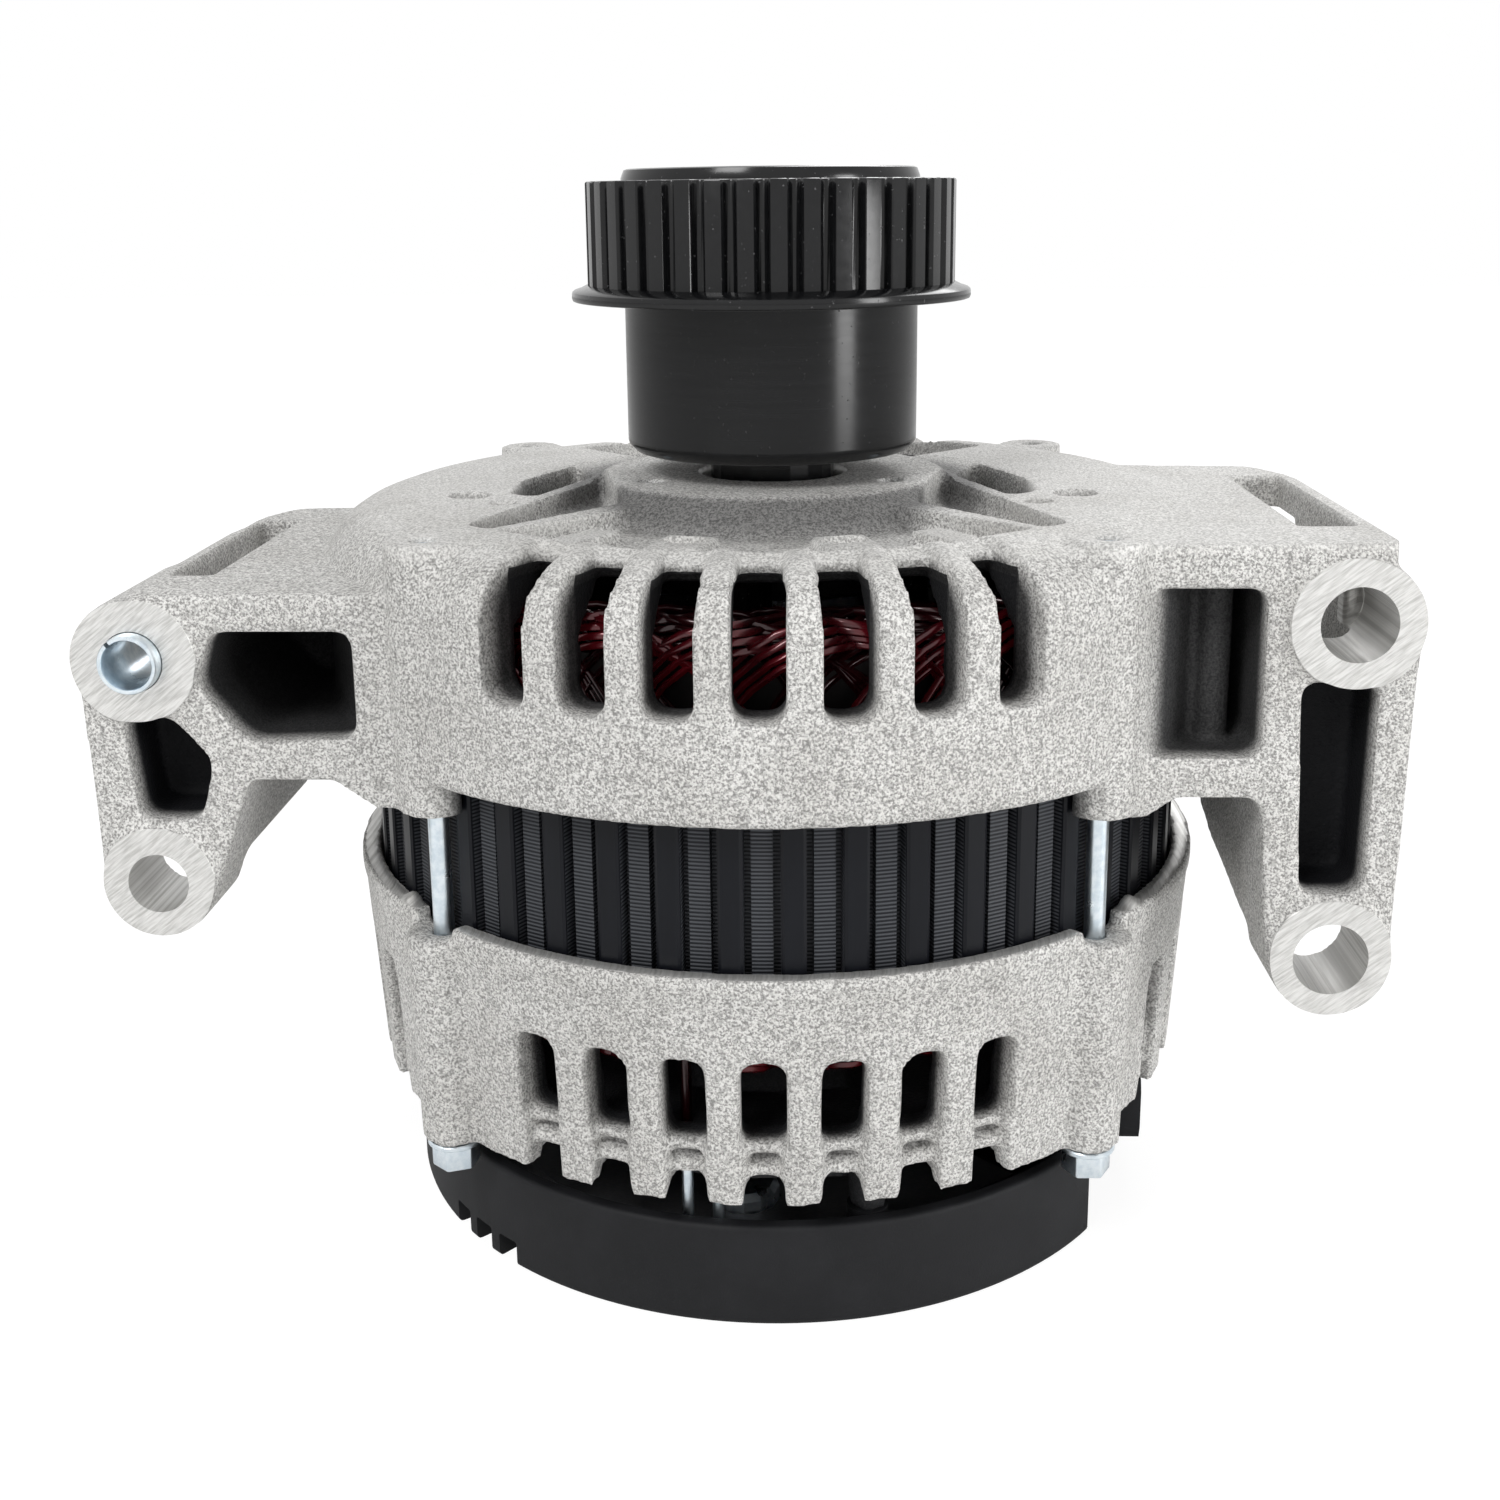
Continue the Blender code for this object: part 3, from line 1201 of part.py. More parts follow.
def heat_sink(low, diode_angles):
    start, end = rectifier_opening, 360.0 - rectifier_opening
    outline = (arc((0, 0), plate_outer, start, end, 16) + arc((0, 0), plate_inner, end, start, 9))
    loops = [outline]
    loops += [circle(polar(diode_circle, angle), diode_radius + seat_gap, 10) for angle in diode_angles]
    loops += [circle(polar(rectifier_screw_circle, angle), rectifier_screw_radius + seat_gap, 8)
              for angle in rectifier_screw_angles]
    return prism(loops, low, low + heat_sink_thickness)


def make_rectifier():
    positive_angles = (76.0, 180.0, 265.0)
    negative_angles = (75.0, 155.0, 215.0)
    sub_part("positive_heat_sink", heat_sink(positive_plate_low, positive_angles), sheet_aluminium)
    sub_part("negative_heat_sink", heat_sink(negative_plate_low, negative_angles), sheet_aluminium)
    places = [(positive_plate_low - 2.5 * mm, angle) for angle in positive_angles]
    places += [(negative_plate_low + heat_sink_thickness + 2.5 * mm - diode_height, angle) for angle in negative_angles]
    for i, (low, angle) in enumerate(places):
        can = turned("diode", [
            (0.0, diode_height), (diode_radius - 1 * mm, diode_height), (diode_radius, diode_height - 1 * mm),
            (diode_radius, 0.0), (0.0, 0.0)], 12)
        diode = sub_part("diode_%d" % (i + 1), can, zinc_steel)
        x, y = polar(diode_circle, angle)
        diode.location = (x, y, low)
    board_low = positive_plate_low + heat_sink_thickness + seat_gap
    board_high = negative_plate_low - seat_gap
    start, end = rectifier_opening + 4, 360.0 - rectifier_opening - 4
    board_outer = diode_circle - diode_radius - 9 * seat_gap
    board = prism([arc((0, 0), board_outer, start, end, 12) + arc((0, 0), plate_inner + 1 * mm, end, start, 9)],
                  board_low + 2.5 * mm, board_high - 2.5 * mm)
    terminal = sub_part("terminal_board", board, black_plastic)
    spacers = [moved(rod(rectifier_post_radius - 0.2 * mm, board_low, board_high, 8), *polar(rectifier_screw_circle, angle))
               for angle in rectifier_screw_angles]
    join(terminal, gathered(spacers), "spacers")
    holes = [moved(rod(rectifier_screw_radius + seat_gap, board_low - 1 * mm, board_high + 1 * mm, 8),
                   *polar(rectifier_screw_circle, angle)) for angle in rectifier_screw_angles]
    cut(terminal, gathered(holes), "screw_holes")


# Brushes, regulator and connector

def brush_middle(low):
    return low + slip_ring_width / 2


def make_brush_gear():
    half_y = brush_width / 2 + seat_gap
    half_z = brush_height / 2 + seat_gap
    low = slip_ring_lows[0] + slip_ring_width / 2 - half_z - holder_wall
    high = slip_ring_lows[1] + slip_ring_width / 2 + half_z + holder_wall
    holder = sub_part("brush_holder", box(
        (holder_front + 2 * mm, holder_back), (-half_y - holder_wall, half_y + holder_wall), (low, high)), black_plastic)
    channels = []
    for ring_low in slip_ring_lows:
        middle = brush_middle(ring_low)
        channels.append(box((0.0, holder_back - holder_wall), (-half_y, half_y), (middle - half_z, middle + half_z)))
    cut(holder, gathered(channels), "channels")
    for label, ring_low in zip(("lower", "upper"), slip_ring_lows):
        middle = brush_middle(ring_low)
        start = slip_ring_radius + seat_gap
        block = box((0.0, brush_length), (-brush_width / 2, brush_width / 2), (-brush_height / 2, brush_height / 2))
        brush = sub_part("brush_" + label, block, carbon)
        brush.location = (start, 0, middle)
        pocket = rod(spring_radius + spring_wire + seat_gap, 0.0, brush_pocket + 2 * mm, 14)
        pocket.transform(Matrix.Translation((start + brush_length - brush_pocket, 0, middle))
                         @ Matrix.Rotation(pi / 2, 4, "Y"))
        cut(brush, pocket, "spring_pocket")
        make_spring("brush_spring_" + label, start + brush_length - brush_pocket + brush_travel + seat_gap,
                    holder_back - holder_wall - seat_gap, middle)


def make_spring(name, start, end, height):
    curve = bpy.data.curves.new(name, "CURVE")
    curve.dimensions = "3D"
    curve.bevel_depth = spring_wire
    curve.bevel_resolution = 0
    curve.use_fill_caps = True
    count = spring_turns * 7
    spline = curve.splines.new("POLY")
    spline.points.add(count)
    for i, point in enumerate(spline.points):
        turn = 2 * pi * i / 7
        along = start + spring_wire + (end - start - 2 * spring_wire) * i / count
        point.co = (along, spring_radius * cos(turn), spring_radius * sin(turn), 1)
    mesh = settled(placed(name + "_path", curve, cutters))
    spring = sub_part(name, mesh, bright_steel)
    spring.location = (0, 0, height)


def make_regulator():
    left = holder_back + seat_gap
    right = cover_flat - cover_wall - seat_gap
    loop = rounded([(left, -regulator_half_width), (right, -regulator_half_width), (right, regulator_half_width),
                    (left, regulator_half_width)], 2.5 * mm)
    sub_part("voltage_regulator", prism([loop], regulator_low, regulator_high), black_plastic)
    start = right + seat_gap
    shell = rounded([(socket_near, socket_low), (socket_far, socket_low), (socket_far, socket_high),
                     (socket_near, socket_high)], 3 * mm)
    inner = rounded([(socket_near + socket_wall, socket_low + socket_wall), (socket_far - socket_wall, socket_low + socket_wall),
                     (socket_far - socket_wall, socket_high - socket_wall),
                     (socket_near + socket_wall, socket_high - socket_wall)], 2 * mm)
    body = upright([shell], -socket_reach, -start)
    body.transform(face_left)
    socket = sub_part("plug_socket", body, black_plastic)
    hollow = upright([inner], -socket_reach - 5 * mm, -start - 3 * mm)
    hollow.transform(face_left)
    cut(socket, hollow, "hollow")
    blades = []
    for i in range(3):
        y = socket_near + (socket_far - socket_near) * (i + 1) / 4
        middle = (socket_low + socket_high) / 2 - 1 * mm
        blades.append(box((start + 1 * mm, socket_reach - 3 * mm), (y - 1.2 * mm, y + 1.2 * mm),
                          (middle - 0.4 * mm, middle + 0.4 * mm)))
    join(socket, gathered(blades), "blades")


def make_output_stud():
    # The output terminal points out behind, clear of the ground
    start = plate_outer - 6 * mm
    block_low = positive_plate_low + heat_sink_thickness + seat_gap
    block = box((stud_offset - 6 * mm, stud_offset + 6 * mm), (start, cover_radius - cover_wall - 4 * mm),
                (block_low, block_low + stud_block))
    stud = sub_part("output_stud", block, zinc_steel)
    centre = (stud_offset, block_low + stud_block / 2)
    join(stud, bored(centre, stud_radius, start + 2 * mm, stud_reach, 20), "shank")
    face = sqrt(cover_radius ** 2 - stud_offset ** 2)
    nut = sub_part("output_nut", moved(laid_along_y(
        rod(nut_radius, 0.0, nut_height, 6), face + 1.5 * mm), x=centre[0], z=centre[1]), zinc_steel)
    cut(nut, bored(centre, stud_radius + seat_gap, face, stud_reach + 5 * mm, 20), "thread")
    return centre


# Rear cover

def cover_loop(radius, flat):
    angle = atan2(sqrt(radius ** 2 - flat ** 2), flat) * 180 / pi
    return arc((0, 0), radius, angle, 360.0 - angle, 36)


def make_cover(stud_centre):
    outer = cover_loop(cover_radius, cover_flat)
    inner = cover_loop(cover_radius - cover_wall, cover_flat - cover_wall)
    cover = sub_part("rear_cover", prism([outer], 0.0, cover_height), black_plastic)
    cut(cover, prism([inner], cover_wall, cover_height + 5 * mm), "inside")
    bosses = [moved(rod(cover_boss_radius, cover_wall / 2, cover_height, 10), x=x, y=y) for x, y in cover_screw_places()]
    join(cover, gathered(bosses), "bosses")
    holes = []
    for x, y in cover_screw_places():
        holes.append(moved(rod(cover_screw_radius + seat_gap, -1 * mm, cover_height + 1 * mm, 10), x=x, y=y))
    cut(cover, gathered(holes), "screw_holes")
    sinks = [moved(rod(3.0 * mm, -1 * mm, cover_wall, 12), x=x, y=y) for x, y in cover_screw_places()]
    cut(cover, gathered(sinks), "head_sinks")
    louvres = []
    for i in range(3):
        across = (cover_louvre_width + cover_louvre_fin) / cover_radius * 180 / pi * (i - 1)
        gap = box((cover_radius - 9 * mm, cover_radius + 5 * mm), (-cover_louvre_width / 2, cover_louvre_width / 2),
                  (-1 * mm, cover_louvre_height))
        louvres.append(turned_about_z(gap, -136.5 + across))
    cut(cover, gathered(louvres), "louvres")
    openings = [
        box((cover_flat - 2 * cover_wall, cover_flat + 2 * mm), (socket_near - seat_gap, socket_far + seat_gap),
            (socket_low - seat_gap, cover_height + 3 * mm)),
        bored(stud_centre, stud_radius + 1.5 * mm, cover_radius - 4 * cover_wall, cover_radius + 5 * mm, 20)]
    cut(cover, gathered(openings), "terminal_openings")
    return cover


def make_alternator():
    rotor = placed("rotor_axis", None, parts)
    ring_body = placed("pulley_axis", None, parts)
    front_cage = placed("front_cage_axis", None, parts)
    rear_cage = placed("rear_cage_axis", None, parts)
    make_drive_end_bracket()
    make_slip_ring_end_bracket()
    make_sleeve()
    make_stator()
    make_fasteners()
    make_bearing("front", front_journal, front_bearing_radius, front_bearing_low, front_bearing_width, front_race,
                 front_cage, rotor)
    make_bearing("rear", rear_journal, rear_bearing_radius, rear_bearing_low, rear_bearing_width, rear_race,
                 rear_cage, rotor)
    make_retainer()
    make_rotor(rotor)
    make_pulley(ring_body, rotor)
    make_rectifier()
    make_brush_gear()
    make_regulator()
    make_cover(make_output_stud())


make_alternator()
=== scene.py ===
import random
from math import atan2, cos, pi, radians, sin, sqrt

import bmesh
import bpy
import numpy as np
from mathutils import Matrix, Vector


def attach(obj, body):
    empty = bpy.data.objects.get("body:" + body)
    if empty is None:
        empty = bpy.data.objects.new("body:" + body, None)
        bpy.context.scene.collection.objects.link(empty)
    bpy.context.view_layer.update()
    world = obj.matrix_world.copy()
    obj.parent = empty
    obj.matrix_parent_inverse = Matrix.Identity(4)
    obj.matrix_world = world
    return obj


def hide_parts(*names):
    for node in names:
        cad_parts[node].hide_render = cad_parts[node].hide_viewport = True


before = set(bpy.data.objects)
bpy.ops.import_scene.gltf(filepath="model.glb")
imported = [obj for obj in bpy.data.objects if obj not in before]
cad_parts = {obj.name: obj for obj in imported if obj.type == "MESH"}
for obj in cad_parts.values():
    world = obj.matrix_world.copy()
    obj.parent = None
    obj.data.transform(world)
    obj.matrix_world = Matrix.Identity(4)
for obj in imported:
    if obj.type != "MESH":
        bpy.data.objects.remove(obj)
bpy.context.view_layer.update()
mm = 0.001
print("frame loaded,", len(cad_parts), "solids")


# shader maths

class Flow:
    # one socket in a material; arithmetic on it adds Math nodes
    def __init__(self, tree, socket=None):
        self.tree, self.socket = tree, socket

    def node(self, kind, settings=None, values=None, output=0):  # any other node
        made = self.tree.nodes.new(kind)
        for name, value in (settings or {}).items():
            if name == "stops":
                ramp = made.color_ramp.elements
                while len(ramp) < len(value):
                    ramp.new(0.5)
                for stop, (place, shade) in zip(ramp, value):
                    stop.position, stop.color = place, (*shade, 1.0)
            else:
                setattr(made, name, value)
        for key, value in (values or {}).items():
            if isinstance(value, Flow):
                self.tree.links.new(value.socket, made.inputs[key])
            else:
                made.inputs[key].default_value = value
        return Flow(self.tree, made.outputs[output])

    def out(self, index):
        return Flow(self.tree, self.socket.node.outputs[index])

    def math(self, operation, *others):  # self is the first value
        return self.node("ShaderNodeMath", {"operation": operation}, dict(enumerate((self, *others))))

    def __add__(self, other):
        return self.math("ADD", other)

    def __sub__(self, other):
        return self.math("SUBTRACT", other)

    def __rsub__(self, other):
        return self.math("MULTIPLY_ADD", -1.0, other)

    def __mul__(self, other):
        return self.math("MULTIPLY", other)

    def __truediv__(self, other):
        return self.math("DIVIDE", other)

    def __gt__(self, other):
        return self.math("GREATER_THAN", other)

    def __lt__(self, other):
        return self.math("LESS_THAN", other)

    __radd__ = __add__
    __rmul__ = __mul__

    def step(self, low, high):  # 0 below low, 1 above high
        return self.node("ShaderNodeMapRange", {"interpolation_type": "SMOOTHSTEP"},
                         {"Value": self, "From Min": low, "From Max": high, "To Min": 0.0, "To Max": 1.0})

    def mix(self, share, first, second):  # colours; self only gives the tree
        first = first if isinstance(first, Flow) else (*first, 1.0)
        second = second if isinstance(second, Flow) else (*second, 1.0)
        return self.node("ShaderNodeMix", {"data_type": "RGBA"}, {0: share, 6: first, 7: second}, 2)

    def noise(self, size, detail=2.0, rough=0.5):  # self is a place; size of the pattern in metres
        return self.node("ShaderNodeTexNoise", None,
                         {"Vector": self, "Scale": 1 / size, "Detail": detail, "Roughness": rough})

    def stretched(self, scale, turn=(0, 0, 0)):
        return self.node("ShaderNodeMapping", None,
                         {"Vector": self, "Rotation": [radians(a) for a in turn], "Scale": scale})


def newMaterial(name, metallic=0.0, coat=0.0, coatRoughness=0.1, specular=0.5):
    material = bpy.data.materials.new(name)
    material.use_nodes = True
    tree = material.node_tree
    shader = tree.nodes["Principled BSDF"]
    shader.inputs["Metallic"].default_value = metallic
    shader.inputs["Coat Weight"].default_value = coat
    shader.inputs["Coat Roughness"].default_value = coatRoughness
    shader.inputs["Specular IOR Level"].default_value = specular
    place = Flow(tree).node("ShaderNodeTexCoord", output=3)  # object coordinates
    return material, shader, place


def dress(shader, colour=None, roughness=None, height=None, distance=0.1 * mm, strength=1.0, metallic=None):
    tree = shader.id_data
    for name, value in (("Base Color", colour), ("Roughness", roughness), ("Metallic", metallic)):
        if isinstance(value, Flow):
            tree.links.new(value.socket, shader.inputs[name])
        elif value is not None:
            shader.inputs[name].default_value = value
    if height is not None:
        bump = height.node("ShaderNodeBump", None,
                           {"Strength": strength, "Distance": distance, "Height": height})
        tree.links.new(bump.socket, shader.inputs["Normal"])


def lengthXY(x, y):
    return (x * x + y * y).math("SQRT")


# finishes

castLook = {
    "light": (0.70, 0.692, 0.675), "dark": (0.15, 0.147, 0.141), "stain": (0.62, 0.61, 0.59),
    "deep": (0.0060, 0.0064, 0.0080), "cutLight": (0.74, 0.735, 0.72), "cutDark": (0.46, 0.455, 0.44),
    "grain": 0.38 * mm, "worm": 0.70 * mm, "patch": 16 * mm, "metallic": 0.25, "bump": 0.26 * mm,
    "grainSpan": (0.42, 0.64), "grainShare": 0.74, "wormSpan": (0.48, 0.60), "wormShare": 0.40,
    "plateHeight": 122 * mm, "plateRadius": 45 * mm, "plateSmooth": 0.30,
    "scratchTurn": 38, "scratchScale": (220, 1, 2600), "rough": 0.58, "cutMetallic": 0.6,
}
bossCentres = ((89.8, 111.7), (88.9, 57.5), (-98.4, 106.0), (-97.4, 69.3))  # x and z, millimetres
armPockets = (  # left, right, low, high and rear edge in millimetres, and how much painted shade each gets
    (-89.2, -62.0, 92.4, 111.4, -9, 0.95), (-101.6, -86.8, 79.2, 97.4, -39.6, 1.0),
    (55.0, 76.8, 89.7, 117.6, -9, 0.93), (82.3, 94.0, 65.5, 104.2, -39.6, 1.0),
)


def castFinish(name, machined, shadeMask):
    # sand cast aluminium; machined gives the mask of its cut faces, the other mask gives painted shade in its
    # hollows, windows, pockets and chamber
    material, shader, place = newMaterial(name, specular=0.25)
    grain = place.noise(castLook["grain"], 2.0, 0.6)
    worm = place.noise(castLook["worm"], 2.0, 0.65)
    patch = place.noise(castLook["patch"], 3.0, 0.6)
    colour = place.mix(patch.step(0.35, 0.75), castLook["light"], castLook["stain"])
    parts = place.node("ShaderNodeSeparateXYZ", None, {0: place})
    x, y, z = parts, parts.out(1), parts.out(2)
    plates = (z - castLook["plateHeight"]).step(0.0, 2.0 * mm) * (lengthXY(x, y) > castLook["plateRadius"])
    coarse = 1 - plates * castLook["plateSmooth"]  # the top plates are smoother
    grained = grain.step(*castLook["grainSpan"]) * coarse * castLook["grainShare"]
    wormed = worm.step(*castLook["wormSpan"]) * coarse * castLook["wormShare"]
    colour = place.mix(grained, colour, castLook["dark"])
    colour = place.mix(wormed, colour, castLook["dark"])
    mask = machined(x, y, z)
    deep = shadeMask(x, y, z)
    # painted shade: the masked hollows are mixed towards a near-black colour and lose their metallic sheen
    # below
    colour = place.mix(deep, colour, castLook["deep"])
    slanted = place.stretched((1, 1, 1), (0, castLook["scratchTurn"], 0))
    diagonal = slanted.stretched(castLook["scratchScale"]).noise(1.0, 3.0, 0.6)
    bright = place.mix(diagonal.step(0.3, 0.75), castLook["cutLight"], castLook["cutDark"])
    colour = place.mix(mask, colour, bright)
    rough = castLook["rough"] + grain * 0.16 - mask * 0.26 + diagonal * mask * 0.16
    height = (1 - (grain * 0.7 + worm * 0.9)) * (1 - mask) * coarse + mask * diagonal * 0.4
    metallic = castLook["metallic"] + mask * castLook["cutMetallic"] - deep * castLook["metallic"]
    dress(shader, colour, rough, height, castLook["bump"], 1.0, metallic)
    return material


maskLook = {
    "cutPlane": 54.12 * mm, "armsFrom": 76 * mm, "boreMasks": (6.1, 6.1, 5.1, 5.1), "boreFront": -30 * mm,
    "hubBore": 13.4 * mm, "hubFrom": 120 * mm, "rearSeam": 63.1 * mm,
    "curveRadius": 63.9 * mm, "curveHeight": 115.3 * mm, "curveAcross": 15 * mm, "curveUp": 10 * mm,
    "skinScale": 12.0, "skinSpan": (1.3, 4.6), "skinFrom": 66 * mm, "skinShade": 0.90,
    "chamberTop": 120.5 * mm, "chamberRadius": 71 * mm, "chamberShade": 0.985,
    "roofInner": 60 * mm, "roofOuter": 71.5 * mm, "roofTop": 122.2 * mm, "roofShade": 0.95,
    "collarInner": 29.5 * mm, "collarOuter": 34 * mm, "collarLow": 121 * mm, "collarHigh": 127.9 * mm,
    "collarShade": 0.70, "pocketFront": 52.9 * mm, "pocketFade": 5.0 * mm,
    "coneHeight": 29.6 * mm, "coneSlope": 0.071, "coneRadius": 73.8 * mm, "rearSpan": (2.5, 5.2),
    "rearTop": 59 * mm, "rearShade": 0.94, "rearChamber": 68.6 * mm,
}


def frontMachined(x, y, z):
    look = maskLook
    face = (y * -1.0 - look["cutPlane"]).step(0.0, 0.05 * mm) * (x.math("ABSOLUTE") > look["armsFrom"])
    bores = None
    for (bx, bz), radius in zip(bossCentres, look["boreMasks"]):
        near = lengthXY(x - bx * mm, z - bz * mm) < radius * mm
        bores = near if bores is None else bores + near
    hub = (lengthXY(x, y) < look["hubBore"]) * (z > look["hubFrom"])
    return face.math("MAXIMUM", bores * (y < look["boreFront"])).math("MAXIMUM", hub)


def frontShadeMask(x, y, z):
    # painted shade: darkens the window walls, the inner chamber, the window roofs, the hub's wall under the
    # pulley and the arm pockets
    look = maskLook
    across = lengthXY(x, y)
    outward = ((across - look["curveRadius"]) / look["curveAcross"]).math("MAXIMUM", 0.0)
    upward = ((z - look["curveHeight"]) / look["curveUp"]).math("MAXIMUM", 0.0)
    depth = (1 - lengthXY(outward, upward)) * look["skinScale"]  # about millimetres under the outer skin
    dark = depth.step(*look["skinSpan"]) * (across > look["skinFrom"]) * look["skinShade"]
    chamber = (z < look["chamberTop"]) * (across < look["chamberRadius"]) * look["chamberShade"]
    roof = (across > look["roofInner"]) * (across < look["roofOuter"]) * (z < look["roofTop"])
    dark = dark.math("MAXIMUM", chamber).math("MAXIMUM", roof * look["roofShade"])
    # painted shade on the hub's wall, under the pulley
    collar = ((across - look["collarInner"]).step(0.0, 2.0 * mm)
              * (1 - (across - look["collarOuter"]).step(0.0, 9 * mm)))
    onWall = (z > look["collarLow"]) * (z < look["collarHigh"]) * look["collarShade"]
    dark = dark.math("MAXIMUM", collar * onWall)
    for left, right, low, high, rear, share in armPockets:
        inside = (x > left * mm) * (x < right * mm) * (z > low * mm) * (z < high * mm)
        inward = (y + look["pocketFront"]).step(0.0, look["pocketFade"]) * (y < rear * mm)
        dark = dark.math("MAXIMUM", inside * inward * share)
    return dark


def rearMachined(x, y, z):
    return (z > maskLook["rearSeam"]) * 1.0


def rearShadeMask(x, y, z):
    # painted shade: darkens the surfaces inside the windows and the inner chamber
    look = maskLook
    across = lengthXY(x, y)
    depth = ((z - look["coneHeight"]) * look["coneSlope"] + look["coneRadius"] - across) / mm
    dark = depth.step(*look["rearSpan"]) * (z < look["rearTop"]) * look["rearShade"]
    return dark.math("MAXIMUM", (across < look["rearChamber"]) * look["chamberShade"])


frontCast = castFinish("cast_front", frontMachined, frontShadeMask)
rearCast = castFinish("cast_rear", rearMachined, rearShadeMask)


def blackMetal(name, colour, rough, brushed, speck=0.12, coat=0.0, specular=0.25):
    # black oxide or paint over steel; brushed stretches the marks round the axis
    material, shader, place = newMaterial(name, 0.0, coat, 0.12, specular)
    marks = place.stretched((60, 60, 1500) if brushed else (700, 700, 700)).noise(1.0, 2.0, 0.5)
    dust = place.noise(0.7 * mm, 2.0, 0.5).step(0.70, 0.76)
    shade = place.mix(marks, colour, tuple(c * 1.8 + 0.001 for c in colour))
    shade = place.mix(dust * speck, shade, (0.34, 0.34, 0.35))
    dress(shader, shade, rough + marks * 0.10 + dust * 0.2, marks + dust * 3.0, 0.003 * mm, 1.0)
    return material


pulleyBody = blackMetal("black_oxide_turned", (0.0042, 0.0043, 0.0047), 0.15, True, 0.06, specular=0.27)
pulleyTeeth = blackMetal("black_oxide_toothed", (0.0030, 0.0031, 0.0035), 0.13, False, 0.20, specular=0.34)
fanBlack = blackMetal("fan_black", (0.0040, 0.0045, 0.0052), 0.16, False, 0.05, 0.8, 0.5)


def plainMetal(name, light, dark, rough, size, metallic=1.0, stretch=(1, 1, 1), bump=0.01 * mm):
    material, shader, place = newMaterial(name, metallic)
    marks = place.stretched([s / size for s in stretch]).noise(1.0, 3.0, 0.6)
    blotch = place.noise(6 * mm, 2.0, 0.5)
    colour = place.mix(marks.step(0.3, 0.7), light, dark)
    dress(shader, colour, rough + blotch * 0.14 + marks * 0.06, marks, bump, 0.8)
    return material


zincFinish = plainMetal("zinc_plated", (0.74, 0.80, 0.84), (0.58, 0.66, 0.72), 0.20, 1.4 * mm)
steelFinish = plainMetal("ground_steel", (0.62, 0.62, 0.63), (0.46, 0.46, 0.47), 0.18, 0.8 * mm,
                         stretch=(1, 1, 6))
ironFinish = plainMetal("forged_pole", (0.030, 0.030, 0.032), (0.016, 0.016, 0.018), 0.45, 1.6 * mm, 0.4,
                        bump=0.06 * mm)
copperFinish = plainMetal("bare_copper", (0.80, 0.42, 0.26), (0.62, 0.28, 0.16), 0.22, 0.9 * mm)
# painted shade: the aluminium heat sinks get a near-black grey for the shade they sit in behind the windows
sinkShadeFinish = plainMetal("heat_sink_painted_shade", (0.10, 0.10, 0.105), (0.06, 0.06, 0.065), 0.42, 0.8 * mm, 0.7,
                         stretch=(1, 8, 1))
carbonFinish = plainMetal("brush_carbon", (0.045, 0.044, 0.043), (0.02, 0.02, 0.02), 0.6, 0.4 * mm, 0.1,
                          bump=0.04 * mm)


def plasticFinish(name, colour, rough, grain=0.35 * mm, bump=0.035 * mm):
    material, shader, place = newMaterial(name, specular=0.20)
    pebble = place.noise(grain, 2.0, 0.6)
    wear = place.noise(14 * mm, 4.0, 0.6)
    shade = place.mix(wear.step(0.35, 0.75), colour, tuple(c * 1.35 + 0.001 for c in colour))
    shade = place.mix(pebble.step(0.62, 0.8) * 0.4, shade, tuple(c * 2.0 for c in colour))
    dress(shader, shade, rough + wear * 0.10, pebble, bump, 0.9)
    return material


coverPlastic = plasticFinish("cover_plastic", (0.0095, 0.0098, 0.0112), 0.55)
innerPlastic = plasticFinish("moulded_black", (0.007, 0.007, 0.008), 0.40)
# painted shade: a near-black fill for the slot bars and the rings behind the wires, standing for the shaded
# winding
gapShadeFill = plasticFinish("winding_gap_shade", (0.0045, 0.0030, 0.0032), 0.45)


sheetLook = {"pitch": 0.62 * mm, "bandRadius": 71.9 * mm, "outerWires": 64.6 * mm}


def laminationFinish():
    # varnished steel sheets: fine level lines on the lower bands, smooth weld lands between them
    material, shader, place = newMaterial("stator_laminations", 0.0, 0.0, 0.2, 0.17)
    parts = place.node("ShaderNodeSeparateXYZ", None, {0: place})
    x, y, z = parts, parts.out(1), parts.out(2)
    wobble = place.stretched((120, 120, 900)).noise(1.0, 2.0, 0.5)
    sheet = ((z + wobble * 0.10 * mm) * (2 * pi / sheetLook["pitch"])).math("SINE")
    band = 1 - (lengthXY(x, y) - sheetLook["bandRadius"]).step(-0.2 * mm, 0.2 * mm)
    streak = place.stretched((300, 300, 40)).noise(1.0, 3.0, 0.6)
    colour = place.mix(streak, (0.0026, 0.0031, 0.0048), (0.0064, 0.0072, 0.0102))
    colour = place.mix(band * (sheet * 0.5 + 0.5) * 0.8, colour, (0.085, 0.090, 0.100))
    dress(shader, colour, 0.30 + streak * 0.14 + band * 0.08, band * sheet + streak * 0.3, 0.06 * mm, 0.9)
    return material


